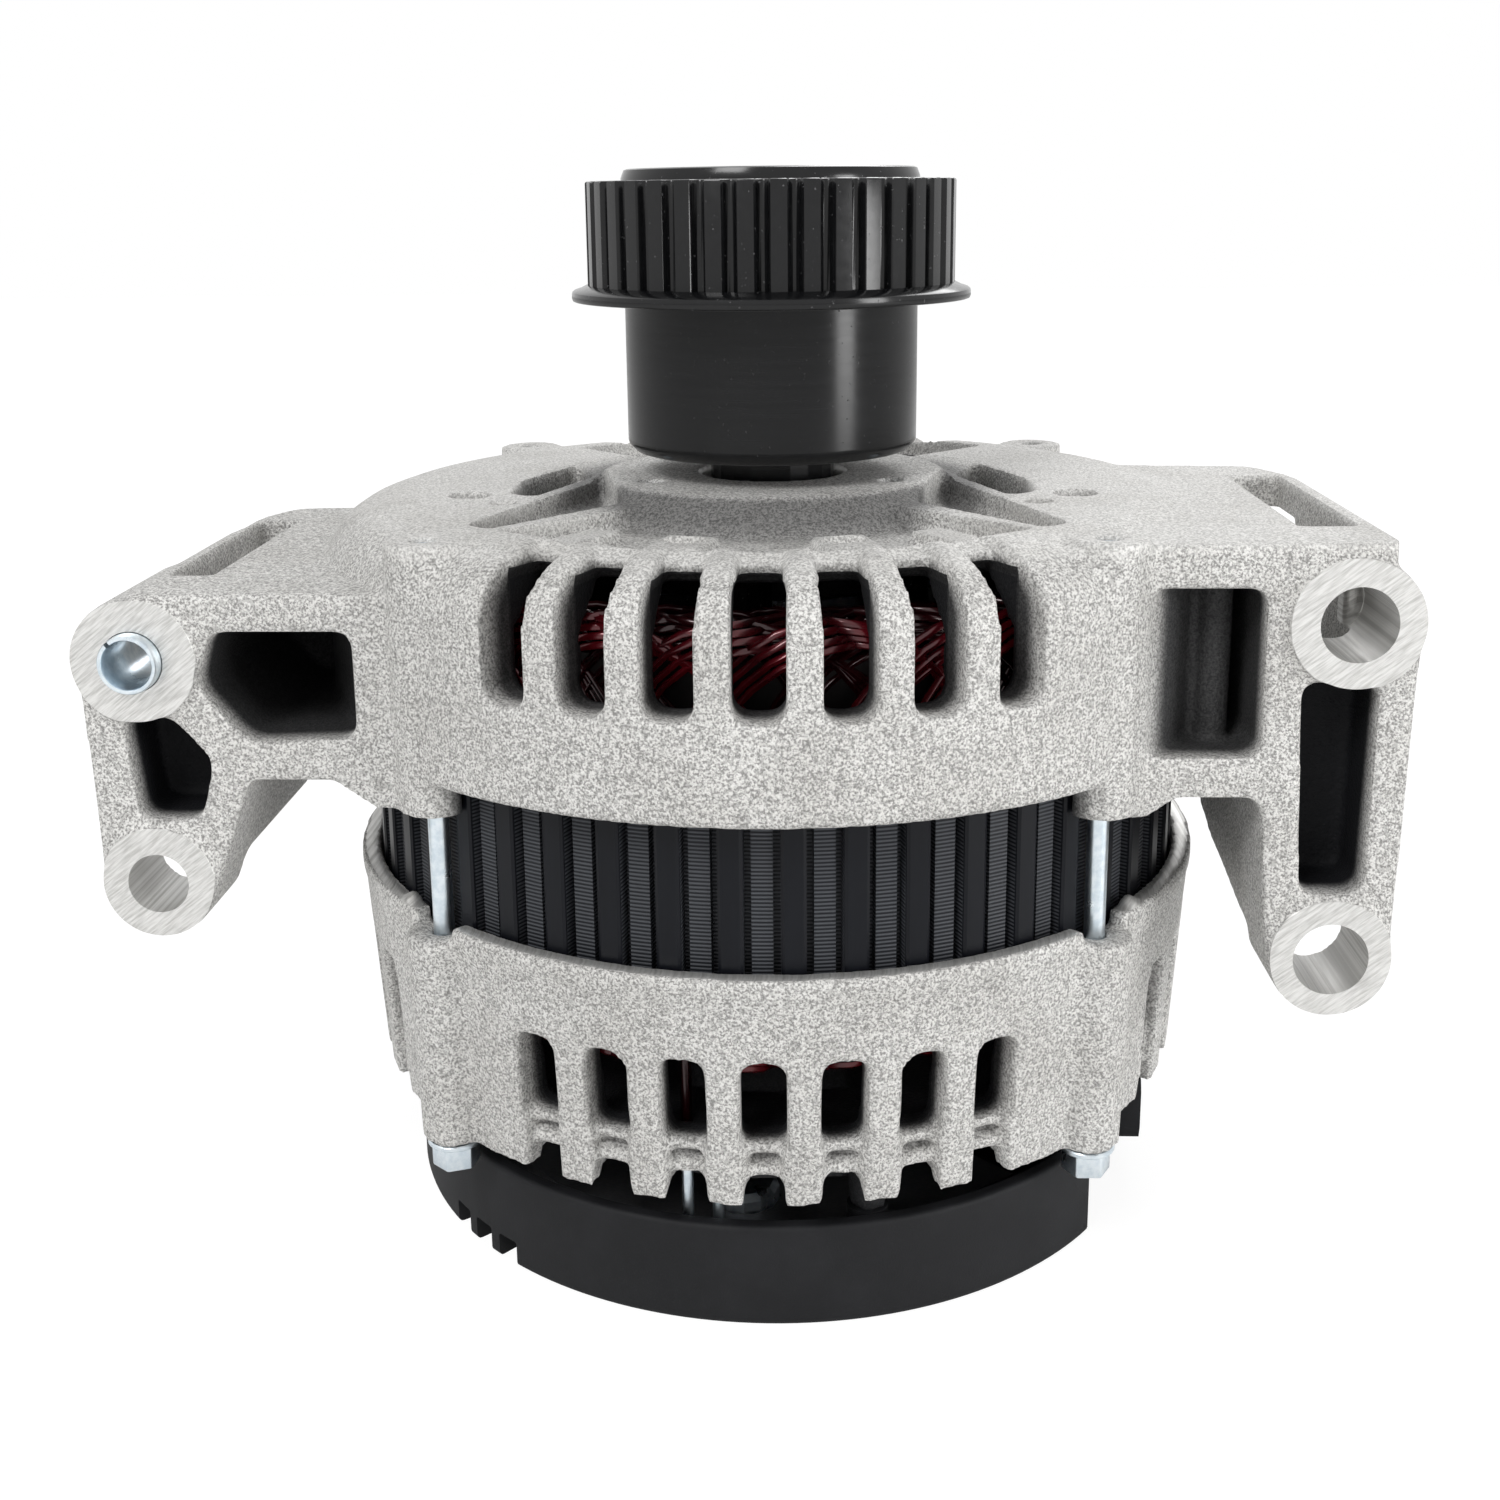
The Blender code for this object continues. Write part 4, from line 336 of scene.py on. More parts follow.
def enamelFinish():
    # the outermost wires keep their red; painted shade makes the wires under them nearly black
    material, shader, place = newMaterial("wine_red_enamel", 0.30, 0.5, 0.06, 0.4)
    drift = place.noise(7 * mm, 3.0, 0.6)
    fine = place.noise(0.8 * mm, 2.0, 0.5)
    parts = place.node("ShaderNodeSeparateXYZ", None, {0: place})
    outermost = (lengthXY(parts, parts.out(1)) - sheetLook["outerWires"]).step(0.0, 1.6 * mm)
    colour = place.mix(drift.step(0.3, 0.7), (0.15, 0.005, 0.011), (0.060, 0.0025, 0.006))
    colour = place.mix(fine.step(0.62, 0.8) * 0.4, colour, (0.28, 0.02, 0.025))
    # painted shade on the wires inside the outer layer
    colour = place.mix(outermost, (0.028, 0.0020, 0.0036), colour)
    dress(shader, colour, 0.18 + fine * 0.10, fine, 0.02 * mm, 0.8)
    return material


laminations = laminationFinish()
enamel = enamelFinish()
print("finishes made")


# shape helpers

def newPiece(name, shape, material, body="housing", smooth=32):
    mesh = bpy.data.meshes.new(name)
    shape.to_mesh(mesh)
    shape.free()
    piece = bpy.data.objects.new(name, mesh)
    bpy.context.scene.collection.objects.link(piece)
    mesh.materials.append(material)
    mesh.shade_smooth()
    mesh.set_sharp_from_angle(angle=radians(smooth))
    if body:
        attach(piece, body)
    return piece


def settle(piece):  # applies the piece's modifiers
    bpy.context.view_layer.update()
    graph = bpy.context.evaluated_depsgraph_get()
    mesh = bpy.data.meshes.new_from_object(piece.evaluated_get(graph))
    piece.modifiers.clear()
    old, piece.data = piece.data, mesh
    bpy.data.meshes.remove(old)
    return piece


def carve(piece, tool, operation="DIFFERENCE", solver="EXACT"):
    step = piece.modifiers.new("carve", "BOOLEAN")
    step.operation, step.solver, step.object = operation, solver, tool
    settle(piece)
    bpy.data.objects.remove(tool)
    return piece


def toolFrom(shape):
    mesh = bpy.data.meshes.new("tool")
    shape.to_mesh(mesh)
    shape.free()
    tool = bpy.data.objects.new("tool", mesh)
    bpy.context.scene.collection.objects.link(tool)
    return tool


def joined(shapes):
    whole = bmesh.new()
    for shape in shapes:
        mesh = bpy.data.meshes.new("part")
        shape.to_mesh(mesh)
        shape.free()
        whole.from_mesh(mesh)
        bpy.data.meshes.remove(mesh)
    return whole


def rod(radius, low, high, segments=64, topRadius=None):
    shape = bmesh.new()
    bmesh.ops.create_cone(shape, cap_ends=True, segments=segments, radius1=radius,
                          radius2=radius if topRadius is None else topRadius, depth=high - low)
    bmesh.ops.translate(shape, verts=shape.verts, vec=(0, 0, (low + high) / 2))
    return shape


def block(xs, ys, zs):
    shape = bmesh.new()
    bmesh.ops.create_cube(shape, size=1.0)
    spans = (xs, ys, zs)
    bmesh.ops.scale(shape, verts=shape.verts, vec=[high - low for low, high in spans])
    bmesh.ops.translate(shape, verts=shape.verts, vec=[(low + high) / 2 for low, high in spans])
    return shape


def plate(outline, low, high):  # a flat outline in XY with thickness along Z
    shape = bmesh.new()
    face = shape.faces.new([shape.verts.new((x, y, low)) for x, y in outline])
    grown = bmesh.ops.extrude_face_region(shape, geom=[face])
    moved = [item for item in grown["geom"] if isinstance(item, bmesh.types.BMVert)]
    bmesh.ops.translate(shape, verts=moved, vec=(0, 0, high - low))
    bmesh.ops.recalc_face_normals(shape, faces=shape.faces)
    return shape


def turned(profile, steps=192):  # a closed profile of radius and height, spun round the shaft's axis
    shape = bmesh.new()
    points = [shape.verts.new((radius, 0, height)) for radius, height in profile]
    rim = [shape.edges.new((a, b)) for a, b in zip(points, points[1:])]
    if profile[0][0] > 0:
        rim.append(shape.edges.new((points[-1], points[0])))
    bmesh.ops.spin(shape, geom=points + rim, cent=(0, 0, 0), axis=(0, 0, 1), angle=2 * pi,
                   steps=steps, use_merge=True)
    bmesh.ops.remove_doubles(shape, verts=shape.verts, dist=1e-7)
    bmesh.ops.recalc_face_normals(shape, faces=shape.faces)
    return shape


def placed(shape, matrix):
    bmesh.ops.transform(shape, matrix=matrix, verts=shape.verts)
    return shape


def shifted(shape, x=0.0, y=0.0, z=0.0):
    return placed(shape, Matrix.Translation((x, y, z)))


def spunTo(shape, degrees):
    return placed(shape, Matrix.Rotation(radians(degrees), 4, "Z"))


def alongY(shape, y=0.0):  # what pointed up points to the back
    return placed(shape, Matrix.Translation((0, y, 0)) @ Matrix.Rotation(radians(-90), 4, "X"))


def bevelled(shape, width, segments=2, angle=30):
    edges = [e for e in shape.edges if len(e.link_faces) == 2 and e.calc_face_angle(0) > radians(angle)]
    bmesh.ops.bevel(shape, geom=edges, offset=width, offset_type="OFFSET", affect="EDGES", segments=segments,
                    profile=0.5, material=-1, clamp_overlap=True)
    return shape


def polar(radius, degrees):
    return radius * cos(radians(degrees)), radius * sin(radians(degrees))


def roundedBox(width, low, high, radiusLow, radiusHigh, steps=5):
    # an upright outline, across and height, with its own radius below and above
    points = []
    for cx, cz, radius, start in ((width / 2, low, radiusLow, -90), (width / 2, high, radiusHigh, 0),
                                  (-width / 2, high, radiusHigh, 90), (-width / 2, low, radiusLow, 180)):
        inwardX = -radius if cx > 0 else radius
        inwardZ = radius if cz == low else -radius
        for i in range(steps + 1):
            angle = radians(start + 90 * i / steps)
            points.append((cx + inwardX + radius * cos(angle), cz + inwardZ + radius * sin(angle)))
    return points


def radialHole(outline, near, far, degrees):
    # an outline of across and height, pushed out along the radius at that angle
    shape = plate(outline, near, far)
    # across, height and out become y, z and x
    frontWay = Matrix(((0, 0, 1, 0), (1, 0, 0, 0), (0, 1, 0, 0), (0, 0, 0, 1)))
    return spunTo(placed(shape, frontWay), degrees)


def copyOf(node, name, material):
    # the solid's mesh, its loose triangles merged, as a working piece
    shape = bmesh.new()
    shape.from_mesh(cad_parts[node].data)
    bmesh.ops.remove_doubles(shape, verts=shape.verts, dist=1e-6)
    return newPiece(name, shape, material, None)


def addStock(piece, shapes):
    # puts more closed shapes into the piece's mesh, for the remesh to merge
    shape = bmesh.new()
    shape.from_mesh(piece.data)
    whole = joined([shape] + shapes)
    whole.to_mesh(piece.data)
    whole.free()


def finishCasting(piece, material, node):
    piece.data.materials.clear()
    piece.data.materials.append(material)
    piece.data.shade_smooth()
    piece.data.set_sharp_from_angle(angle=radians(40))
    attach(piece, "housing")
    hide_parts(node)
    return piece


def castSkin(piece, voxel, rounds, most):
    # turns a sharp solid into one rounded casting skin
    remesh = piece.modifiers.new("skin", "REMESH")
    remesh.mode, remesh.voxel_size, remesh.use_smooth_shade = "VOXEL", voxel, True
    soften = piece.modifiers.new("soften", "SMOOTH")
    soften.factor, soften.iterations = 0.5, rounds
    settle(piece)
    count = sum(len(p.vertices) - 2 for p in piece.data.polygons)
    if count > most:
        thin = piece.modifiers.new("thin", "DECIMATE")
        thin.ratio = most / count
        settle(piece)
    return piece


def trueRound(piece, sides, reach):
    # takes the facets out of what was turned with that many sides
    mesh = piece.data
    places = np.empty(len(mesh.vertices) * 3, np.float32)
    mesh.vertices.foreach_get("co", places)
    places = places.reshape(-1, 3)
    around = np.arctan2(places[:, 1], places[:, 0])
    far = np.hypot(places[:, 0], places[:, 1])
    step = 2 * pi / sides
    offset = np.mod(around, step) - step / 2
    grow = np.cos(offset) / cos(step / 2)
    # fades out towards the hub and at the reach
    share = np.clip((reach - far) / (1.0 * mm), 0, 1) * np.clip((far - 20 * mm) / (5 * mm), 0, 1)
    grow = 1 + (grow - 1) * share
    places[:, 0] *= grow
    places[:, 1] *= grow
    mesh.vertices.foreach_set("co", places.ravel())
    mesh.update()
    return piece


# camera, floor and light

viewSettings = {
    "place": (8.9802, -315.965, 175.55), "pitch": 13.5858, "yaw": -2.4162, "roll": -0.6317,
    "lens": 42.436, "shift": -0.085,
}


def makeCamera():
    pitch, yaw, roll = (radians(viewSettings[k]) for k in ("pitch", "yaw", "roll"))
    forward = Vector((sin(yaw) * cos(pitch), cos(yaw) * cos(pitch), -sin(pitch)))
    level = Vector((cos(yaw), -sin(yaw), 0))
    upright = level.cross(forward)
    right = level * cos(roll) + upright * sin(roll)
    up = upright * cos(roll) - level * sin(roll)
    data = bpy.data.cameras.new("photo_camera")
    data.lens, data.sensor_width, data.sensor_fit = viewSettings["lens"], 36.0, "HORIZONTAL"
    data.shift_y = viewSettings["shift"]
    data.clip_start, data.clip_end = 0.01, 20.0
    camera = bpy.data.objects.new("photo_camera", data)
    bpy.context.scene.collection.objects.link(camera)
    turn = Matrix((right, up, -forward)).transposed().to_4x4()
    camera.matrix_world = Matrix.Translation(Vector(viewSettings["place"]) * mm) @ turn
    bpy.context.scene.camera = camera


studio = {
    "floorSize": 6.0, "paper": (0.93, 0.93, 0.925), "worldStrength": 0.58, "whiteShare": 0.80,
    "whiteStrength": 1.12,
    "lamps": (  # name, place, aim, width, height, watts
        ("key_light", (-0.50, -0.80, 0.95), (0, 0, 0.08), 0.45, 0.45, 8.0),
        ("strip_light", (0.86, -0.50, 0.25), (0, 0, 0.12), 0.26, 0.46, 4.4),
        ("rim_light", (0.25, 0.85, 0.75), (0, 0, 0.10), 0.50, 0.50, 3.0)),
}


def makeStudio():
    shape = bmesh.new()
    bmesh.ops.create_grid(shape, x_segments=24, y_segments=24, size=studio["floorSize"] / 2)
    material, shader, place = newMaterial("studio_paper")
    tooth = place.noise(2 * mm, 3.0, 0.6)
    shaded = tuple(c * 0.985 for c in studio["paper"])
    dress(shader, place.mix(tooth, studio["paper"], shaded), 0.75)
    # the camera sees a white floor with the object's shadow on it
    tree = material.node_tree
    shadowless = place.node("ShaderNodeEmission", None,
                            {"Color": (1, 1, 1, 1), "Strength": studio["whiteStrength"]})
    path = place.node("ShaderNodeLightPath")
    share = path.out(0) * studio["whiteShare"]
    both = place.node("ShaderNodeMixShader", None,
                      {0: share, 1: Flow(tree, shader.outputs[0]), 2: shadowless})
    tree.links.new(both.socket, tree.nodes["Material Output"].inputs["Surface"])
    floor = newPiece("studio_floor", shape, material, None)

    world = bpy.data.worlds.new("studio_world")
    world.use_nodes = True
    bpy.context.scene.world = world
    tree = world.node_tree
    base = tree.nodes["Background"]
    start = Flow(tree)
    path = start.node("ShaderNodeLightPath")
    # the camera, glossy and transmission rays meet plain white
    seen = path.math("MAXIMUM", path.out(3)).math("MAXIMUM", path.out(6))
    sky = start.node("ShaderNodeBackground", None, {"Color": (1, 1, 1, 1), "Strength": 1.0})
    base.inputs["Color"].default_value = (1, 1, 1, 1)
    base.inputs["Strength"].default_value = studio["worldStrength"]
    both = start.node("ShaderNodeMixShader", None, {0: seen, 1: Flow(tree, base.outputs[0]), 2: sky})
    tree.links.new(both.socket, tree.nodes["World Output"].inputs["Surface"])

    for name, spot, aim, width, height, power in studio["lamps"]:
        data = bpy.data.lights.new(name, "AREA")
        data.shape, data.size, data.size_y, data.energy = "RECTANGLE", width, height, power
        lamp = bpy.data.objects.new(name, data)
        bpy.context.scene.collection.objects.link(lamp)
        lamp.matrix_world = (Matrix.Translation(spot)
                             @ (Vector(aim) - Vector(spot)).to_track_quat("-Z", "Y").to_matrix().to_4x4())
    bpy.context.scene.view_settings.view_transform = "Standard"


makeCamera()
makeStudio()
print("camera and studio made")


# drive end bracket

frontCasting = {
    "voxel": 0.70 * mm, "rounds": 4, "most": 190000, "sides": 40, "reach": 80 * mm,
    "windowPitch": 9.6, "windows": 7, "windowWidth": 7.8 * mm, "windowLow": 103.2 * mm,
    "windowHigh": 121.73 * mm, "windowRoof": 70.6 * mm, "cornerLow": 2.6 * mm, "cornerHigh": 1.5 * mm,
    "channelWidth": 7.64 * mm, "channelDepth": 1.45 * mm,
    "bossRadii": (10.3, 9.7, 10.0, 9.2), "boreRadii": (5.9, 5.9, 4.9, 4.9), "faceY": -54.3 * mm,
    "webs": (((-102, -87.5), (-40.7, -38.9), (77.5, 98)), ((81.5, 94.5), (-40.9, -38.9), (65, 105))),
    "column": (71.0, -41.6), "columnRadius": 2.6, "columnSpan": (88, 119), "padLow": 119,
    "pads": (  # middle angle, offset, inner and outer radius, half width and top, in degrees and millimetres
        (-90, 15.0, 43.5, 55, 4.6, 123.6), (-90, 33.0, 46.5, 60, 3.0, 123.9),
        (90, 15.0, 43.5, 55, 4.6, 123.6)),
    "sinkRadius": 48, "sinkAngle": 15.0,
}
shoulder = {"radius": 63.9, "top": 125.3, "across": 15.0, "down": 10.0}  # the curved edge, millimetres


def windowPlaces(middle):
    half = (frontCasting["windows"] - 1) / 2
    return [middle + (i - half) * frontCasting["windowPitch"] for i in range(frontCasting["windows"])]


def ribChannel(degrees):
    # sinks the shoulder between two ribs, following its curve
    width, sunk = frontCasting["channelWidth"], frontCasting["channelDepth"] / mm
    outline = [(90, 90), (90, 130), (61.5, 130), (61.5, 125.6)]
    for i in range(9):
        turn = radians(10 * i)
        outline.append((shoulder["radius"] + (shoulder["across"] - sunk) * sin(turn),
                        shoulder["top"] - sunk - (shoulder["down"] - sunk) * (1 - cos(turn))))
    outline += [(78.9 - sunk, 106.5), (79.6, 105.6), (90, 105.6)]
    shape = plate([(r * mm, z * mm) for r, z in outline], -width / 2, width / 2)
    upright = Matrix(((1, 0, 0, 0), (0, 0, -1, 0), (0, 1, 0, 0), (0, 0, 0, 1)))
    return spunTo(placed(shape, upright), degrees)


def windowMouth(degrees):
    # the upper end of a window, open over the shoulder as far in as the roof's edge
    settings = frontCasting
    half, corner = settings["windowWidth"] / 2, settings["cornerHigh"]
    outline = [(90 * mm, -half), (90 * mm, half)]
    for side, start in ((1, 90), (-1, 180)):
        for i in range(5):
            turn = radians(start + 22.5 * i)
            outline.append((settings["windowRoof"] + corner + corner * cos(turn),
                            side * (half - corner) + corner * sin(turn)))
    return spunTo(plate(outline, 110 * mm, 130 * mm), degrees)


def frontStock(settings):
    stock = []
    for side in (-1, 1):
        for middle, offset, near, far, half, top in settings["pads"]:
            pad = block((near * mm, far * mm), (-half * mm, half * mm), (settings["padLow"] * mm, top * mm))
            stock.append(spunTo(pad, middle + side * offset))
    for web in settings["webs"]:
        stock.append(block(*[[v * mm for v in span] for span in web]))
    low, high = settings["columnSpan"]
    stock.append(shifted(rod(settings["columnRadius"] * mm, low * mm, high * mm, 32),
                         x=settings["column"][0] * mm, y=settings["column"][1] * mm))
    for (x, z), radius in zip(bossCentres, settings["bossRadii"]):  # stock for the machined faces
        stock.append(shifted(alongY(rod((radius - 0.25) * mm, 0, 5 * mm, 48), settings["faceY"] - 1.5 * mm),
                             x=x * mm, z=z * mm))
    return stock


def frontSinks(settings):
    # oval sinks beside the hub
    sinks = []
    for side in (-1, 1):
        oval = Matrix.Translation((settings["sinkRadius"] * mm, 0, 0)) @ Matrix.Diagonal((1.0, 1.3, 1.0, 1.0))
        sink = placed(rod(2.6 * mm, 121.9 * mm, 126 * mm, 24, 3.6 * mm), oval)
        sinks.append(spunTo(sink, -90 + side * settings["sinkAngle"]))
    return sinks


def makeFrontCasting():
    settings = frontCasting
    piece = copyOf("drive_end_bracket", "drive_end_casting", frontCast)
    for middle in (-90.0, 90.0):
        opening = roundedBox(settings["windowWidth"], settings["windowLow"], settings["windowHigh"],
                             settings["cornerLow"], 0.5 * mm)
        places = windowPlaces(middle)
        carve(piece, toolFrom(joined([radialHole(opening, 62 * mm, 86 * mm, angle) for angle in places])))
        carve(piece, toolFrom(joined([windowMouth(angle) for angle in places])))
        carve(piece, toolFrom(joined([ribChannel(angle) for angle in places])))
    addStock(piece, frontStock(settings))
    castSkin(piece, settings["voxel"], settings["rounds"], settings["most"])
    trueRound(piece, settings["sides"], settings["reach"])
    bores = [shifted(alongY(rod(radius * mm, 0, 22 * mm, 64), -58 * mm), x=x * mm, z=z * mm)
             for (x, z), radius in zip(bossCentres, settings["boreRadii"])]
    for low, high in ((-0.2, -80 * mm), (72 * mm, 0.2)):  # the machined faces of both arms
        carve(piece, toolFrom(block((low, high), (-0.1, settings["faceY"]), (0.0, 0.2))), solver="MANIFOLD")
    carve(piece, toolFrom(joined(bores)), solver="MANIFOLD")
    carve(piece, toolFrom(joined(frontSinks(settings))), solver="MANIFOLD")
    return finishCasting(piece, frontCast, "drive_end_bracket")


frontPiece = makeFrontCasting()
print("drive end casting made,", len(frontPiece.data.polygons), "faces")


# slip ring end bracket

rearCasting = {
    "voxel": 0.85 * mm, "rounds": 4, "most": 150000, "sides": 40, "reach": 80 * mm,
    "windowWidth": 7.0 * mm, "windowLow": 34.2 * mm, "windowHigh": 49.2 * mm, "corner": 2.6 * mm,
    "lipInner": 66 * mm, "lipRadius": 71.8 * mm, "lipEdge": 0.4 * mm,
    "lips": ((28.8 * mm, 30.6 * mm), (32.4 * mm, 34.4 * mm)), "pins": ((-58.3, -45.4), (58.3, -45.4)),
}


def makeRearCasting():
    settings = rearCasting
    piece = copyOf("slip_ring_end_bracket", "slip_ring_end_casting", rearCast)
    opening = roundedBox(settings["windowWidth"], settings["windowLow"], settings["windowHigh"],
                         0.4 * mm, settings["corner"])
    holes = [radialHole(opening, 66.5 * mm, 84 * mm, angle)
             for middle in (-90.0, 0.0, 90.0, 180.0) for angle in windowPlaces(middle)]
    carve(piece, toolFrom(joined(holes)))
    inner, outer, edge = settings["lipInner"], settings["lipRadius"], settings["lipEdge"]
    stock = [turned([(inner, high), (outer - edge, high), (outer, high - edge), (outer, low), (inner, low)],
                    120) for low, high in settings["lips"]]
    stock += [shifted(rod(1.5 * mm, 60 * mm, 64.6 * mm, 20, 1.2 * mm), x=x * mm, y=y * mm)
              for x, y in settings["pins"]]
    addStock(piece, stock)
    castSkin(piece, settings["voxel"], settings["rounds"], settings["most"])
    trueRound(piece, settings["sides"], settings["reach"])
    return finishCasting(piece, rearCast, "slip_ring_end_bracket")


rearPiece = makeRearCasting()
print("slip ring end casting made,", len(rearPiece.data.polygons), "faces")


# stator core and winding

statorLook = {
    "low": 57.0 * mm, "high": 94.0 * mm, "lands": 48, "land": 72.5 * mm, "band": 71.3 * mm,
    "groove": 69.4 * mm, "landWidth": 3.8 * mm, "bandWidth": 3.3 * mm, "bore": 52.0 * mm,
    "slots": 36, "slotWidth": 3.6 * mm, "slotEnd": 66.0 * mm, "over": 5 * mm,
}


def makeStatorCore():
    settings = statorLook
    pitch = 360.0 / settings["lands"]
    toDegrees = 180 / pi / settings["land"]
    landHalf, bandHalf = settings["landWidth"] / 2 * toDegrees, settings["bandWidth"] / 2 * toDegrees
    land, band, groove = settings["land"], settings["band"], settings["groove"]
    tooth = ((groove, -landHalf), (land - 0.3 * mm, -landHalf), (land, -landHalf * 0.75),
             (land, landHalf * 0.75), (land - 0.3 * mm, landHalf), (groove, landHalf),
             (groove, pitch / 2 - bandHalf), (band, pitch / 2 - bandHalf), (band, pitch / 2),
             (band, pitch / 2 + bandHalf), (groove, pitch / 2 + bandHalf))
    outline = [polar(radius, pitch * (i + 0.5) + angle)
               for i in range(settings["lands"]) for radius, angle in tooth]
    core = newPiece("stator_core_grooved", plate(outline, settings["low"], settings["high"]), laminations)
    low, high = settings["low"] - settings["over"], settings["high"] + settings["over"]
    carve(core, toolFrom(rod(settings["bore"], low, high, 144)))
    half = settings["slotWidth"] / 2
    slots = [spunTo(block((settings["bore"] - 2 * mm, settings["slotEnd"]), (-half, half), (low, high)),
                    360.0 / settings["slots"] * i)
             for i in range(settings["slots"])]
    carve(core, toolFrom(joined(slots)))
    core.data.shade_smooth()
    core.data.set_sharp_from_angle(angle=radians(28))
    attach(core, "housing")
    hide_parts("stator_core")
    return core


windingLook = {
    "wire": 0.64 * mm, "strands": 4, "slots": 36, "outer": 66.6 * mm, "inner": 56.2 * mm, "lean": 48.0,
    "seed": 7, "tallUpper": 20.5 * mm, "tallLower": 13.0 * mm, "under": 2.4 * mm, "layer": 1.25 * mm,
    "leadAngles": (-101.5, -97.0), "leadRadius": 63.6 * mm, "leadHeights": (10.2 * mm, 30 * mm, 53 * mm),
    "leadThickness": 1.45, "bareBelow": 33 * mm, "coreInner": 58 * mm, "coreOuter": 64 * mm,
}


def wirePath(start, lean, base, rise, outer, inner, jitter):
    # out of one slot, slanting up the outside, over the crown, and down the inside to another slot
    points = []
    for i in range(15):
        t = i / 14
        over = 0.5 - 0.5 * cos(pi * min(max((t - 0.38) / 0.24, 0.0), 1.0))  # the crown is the middle quarter
        radius = outer + (inner - outer) * over
        lift = 1 - abs(2 * t - 1) ** 3.0
        angle = start + lean * t + jitter * sin(pi * t * 2)
        x, y = polar(radius, angle)
        points.append((x, y, base + rise * lift))
    return points


def addSpline(curve, places, thickness=1.0):
    spline = curve.splines.new("POLY")
    spline.points.add(len(places) - 1)
    for point, place in zip(spline.points, places):
        point.co = (*place, 1)
        point.radius = thickness


def ringOf(inner, outer, low, high, steps):
    return turned([(inner, high), (outer, high), (outer, low), (inner, low)], steps)


def makeWinding():
    settings = windingLook
    dice = random.Random(settings["seed"])
    curve = bpy.data.curves.new("winding_wires", "CURVE")
    curve.dimensions = "3D"
    curve.bevel_depth = settings["wire"]
    curve.bevel_resolution = 1
    curve.use_fill_caps = True
    top, bottom = statorLook["high"] + 0.5 * mm, statorLook["low"] - 0.5 * mm
    for i in range(settings["slots"]):
        outermost = 1 if i % 3 else -1  # which way the outer bundle leans
        for base, way, tall in ((top, 1, settings["tallUpper"]), (bottom, -1, settings["tallLower"])):
            for side in (1, -1):
                bow, turn = dice.uniform(-1.5, 1.5), dice.uniform(-4.0, 4.0)
                under = 0.0 if side == outermost else settings["under"]
                for strand in range(settings["strands"]):
                    outer = settings["outer"] - under - dice.uniform(0.0, 0.7) * mm
                    inner = settings["inner"] + dice.uniform(0.0, 1.6) * mm
                    rise = way * (tall - strand * settings["layer"] - dice.uniform(0.0, 0.5) * mm)
                    start = 10.0 * i + (strand - 1.5) * 1.25 + dice.uniform(-0.25, 0.25)
                    addSpline(curve, wirePath(start, side * settings["lean"] + turn, base, rise, outer, inner,
                                              bow + dice.uniform(-0.3, 0.3)))
    for angle in settings["leadAngles"]:  # leads down to the rectifier
        lead = [(*polar(settings["leadRadius"], angle), z) for z in settings["leadHeights"]]
        addSpline(curve, lead, settings["leadThickness"])
    holder = bpy.data.objects.new("winding_wires", curve)
    bpy.context.scene.collection.objects.link(holder)
    bpy.context.view_layer.update()
    mesh = bpy.data.meshes.new_from_object(holder.evaluated_get(bpy.context.evaluated_depsgraph_get()))
    bpy.data.objects.remove(holder)
    shape = bmesh.new()
    shape.from_mesh(mesh)
    wireFaces = len(shape.faces)
    span = (bottom - 2 * mm, top + 2 * mm)
    bars = [spunTo(block((54.7 * mm, 65.7 * mm), (-1.5 * mm, 1.5 * mm), span), 10.0 * i)
            for i in range(settings["slots"])]
    cores = [ringOf(settings["coreInner"], settings["coreOuter"], low, high, 72)  # painted shade: near-black rings behind the wires stand for the shaded inner winding
             for low, high in ((top + 0.5 * mm, top + 14 * mm), (bottom - 7 * mm, bottom - 0.5 * mm))]
    winding = newPiece("wire_winding", joined([shape] + bars + cores), enamel)
    winding.data.materials.append(gapShadeFill)
    winding.data.materials.append(zincFinish)
    for number, face in enumerate(winding.data.polygons):
        if number >= wireFaces:
            face.material_index = 1
        elif face.center.z < settings["bareBelow"]:  # the bare ends of the leads
            face.material_index = 2
    winding.data.shade_smooth()
    winding.data.set_sharp_from_angle(angle=radians(60))
    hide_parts("stator_winding")
    return winding


corePiece = makeStatorCore()
windingPiece = makeWinding()
print("stator made,", len(windingPiece.data.polygons), "faces in the winding")


# freewheel pulley

pulleyLook = {
    "teeth": 38, "outer": 32.1 * mm, "depth": 1.8 * mm, "grooveWidth": 2.3 * mm, "low": 160.1 * mm,
    "high": 178.1 * mm, "firstGroove": 4.0, "edge": 0.35 * mm, "bore": 24 * mm, "toothedFrom": 157.95 * mm,
    "profile": (  # radius and height of lip, core, flange and body, millimetres
        (22.6, 180.05), (22.9, 180.1), (24.9, 180.1), (25.4, 179.9), (25.9, 178.6), (25.9, 178.0),
        (25.9, 160.6), (32.4, 160.6), (33.4, 160.1), (34.4, 159.8), (34.8, 159.5), (34.9, 159.1),
        (34.9, 158.4), (34.75, 158.0), (34.5, 157.9), (26.3, 157.9), (25.9, 157.75), (25.7, 157.4),
        (25.7, 157.1), (25.7, 134.0), (25.7, 133.6), (25.55, 133.1), (24.4, 131.85), (24.0, 131.7),
        (19.3, 131.7), (19.3, 176.2), (22.5, 176.2)),
}


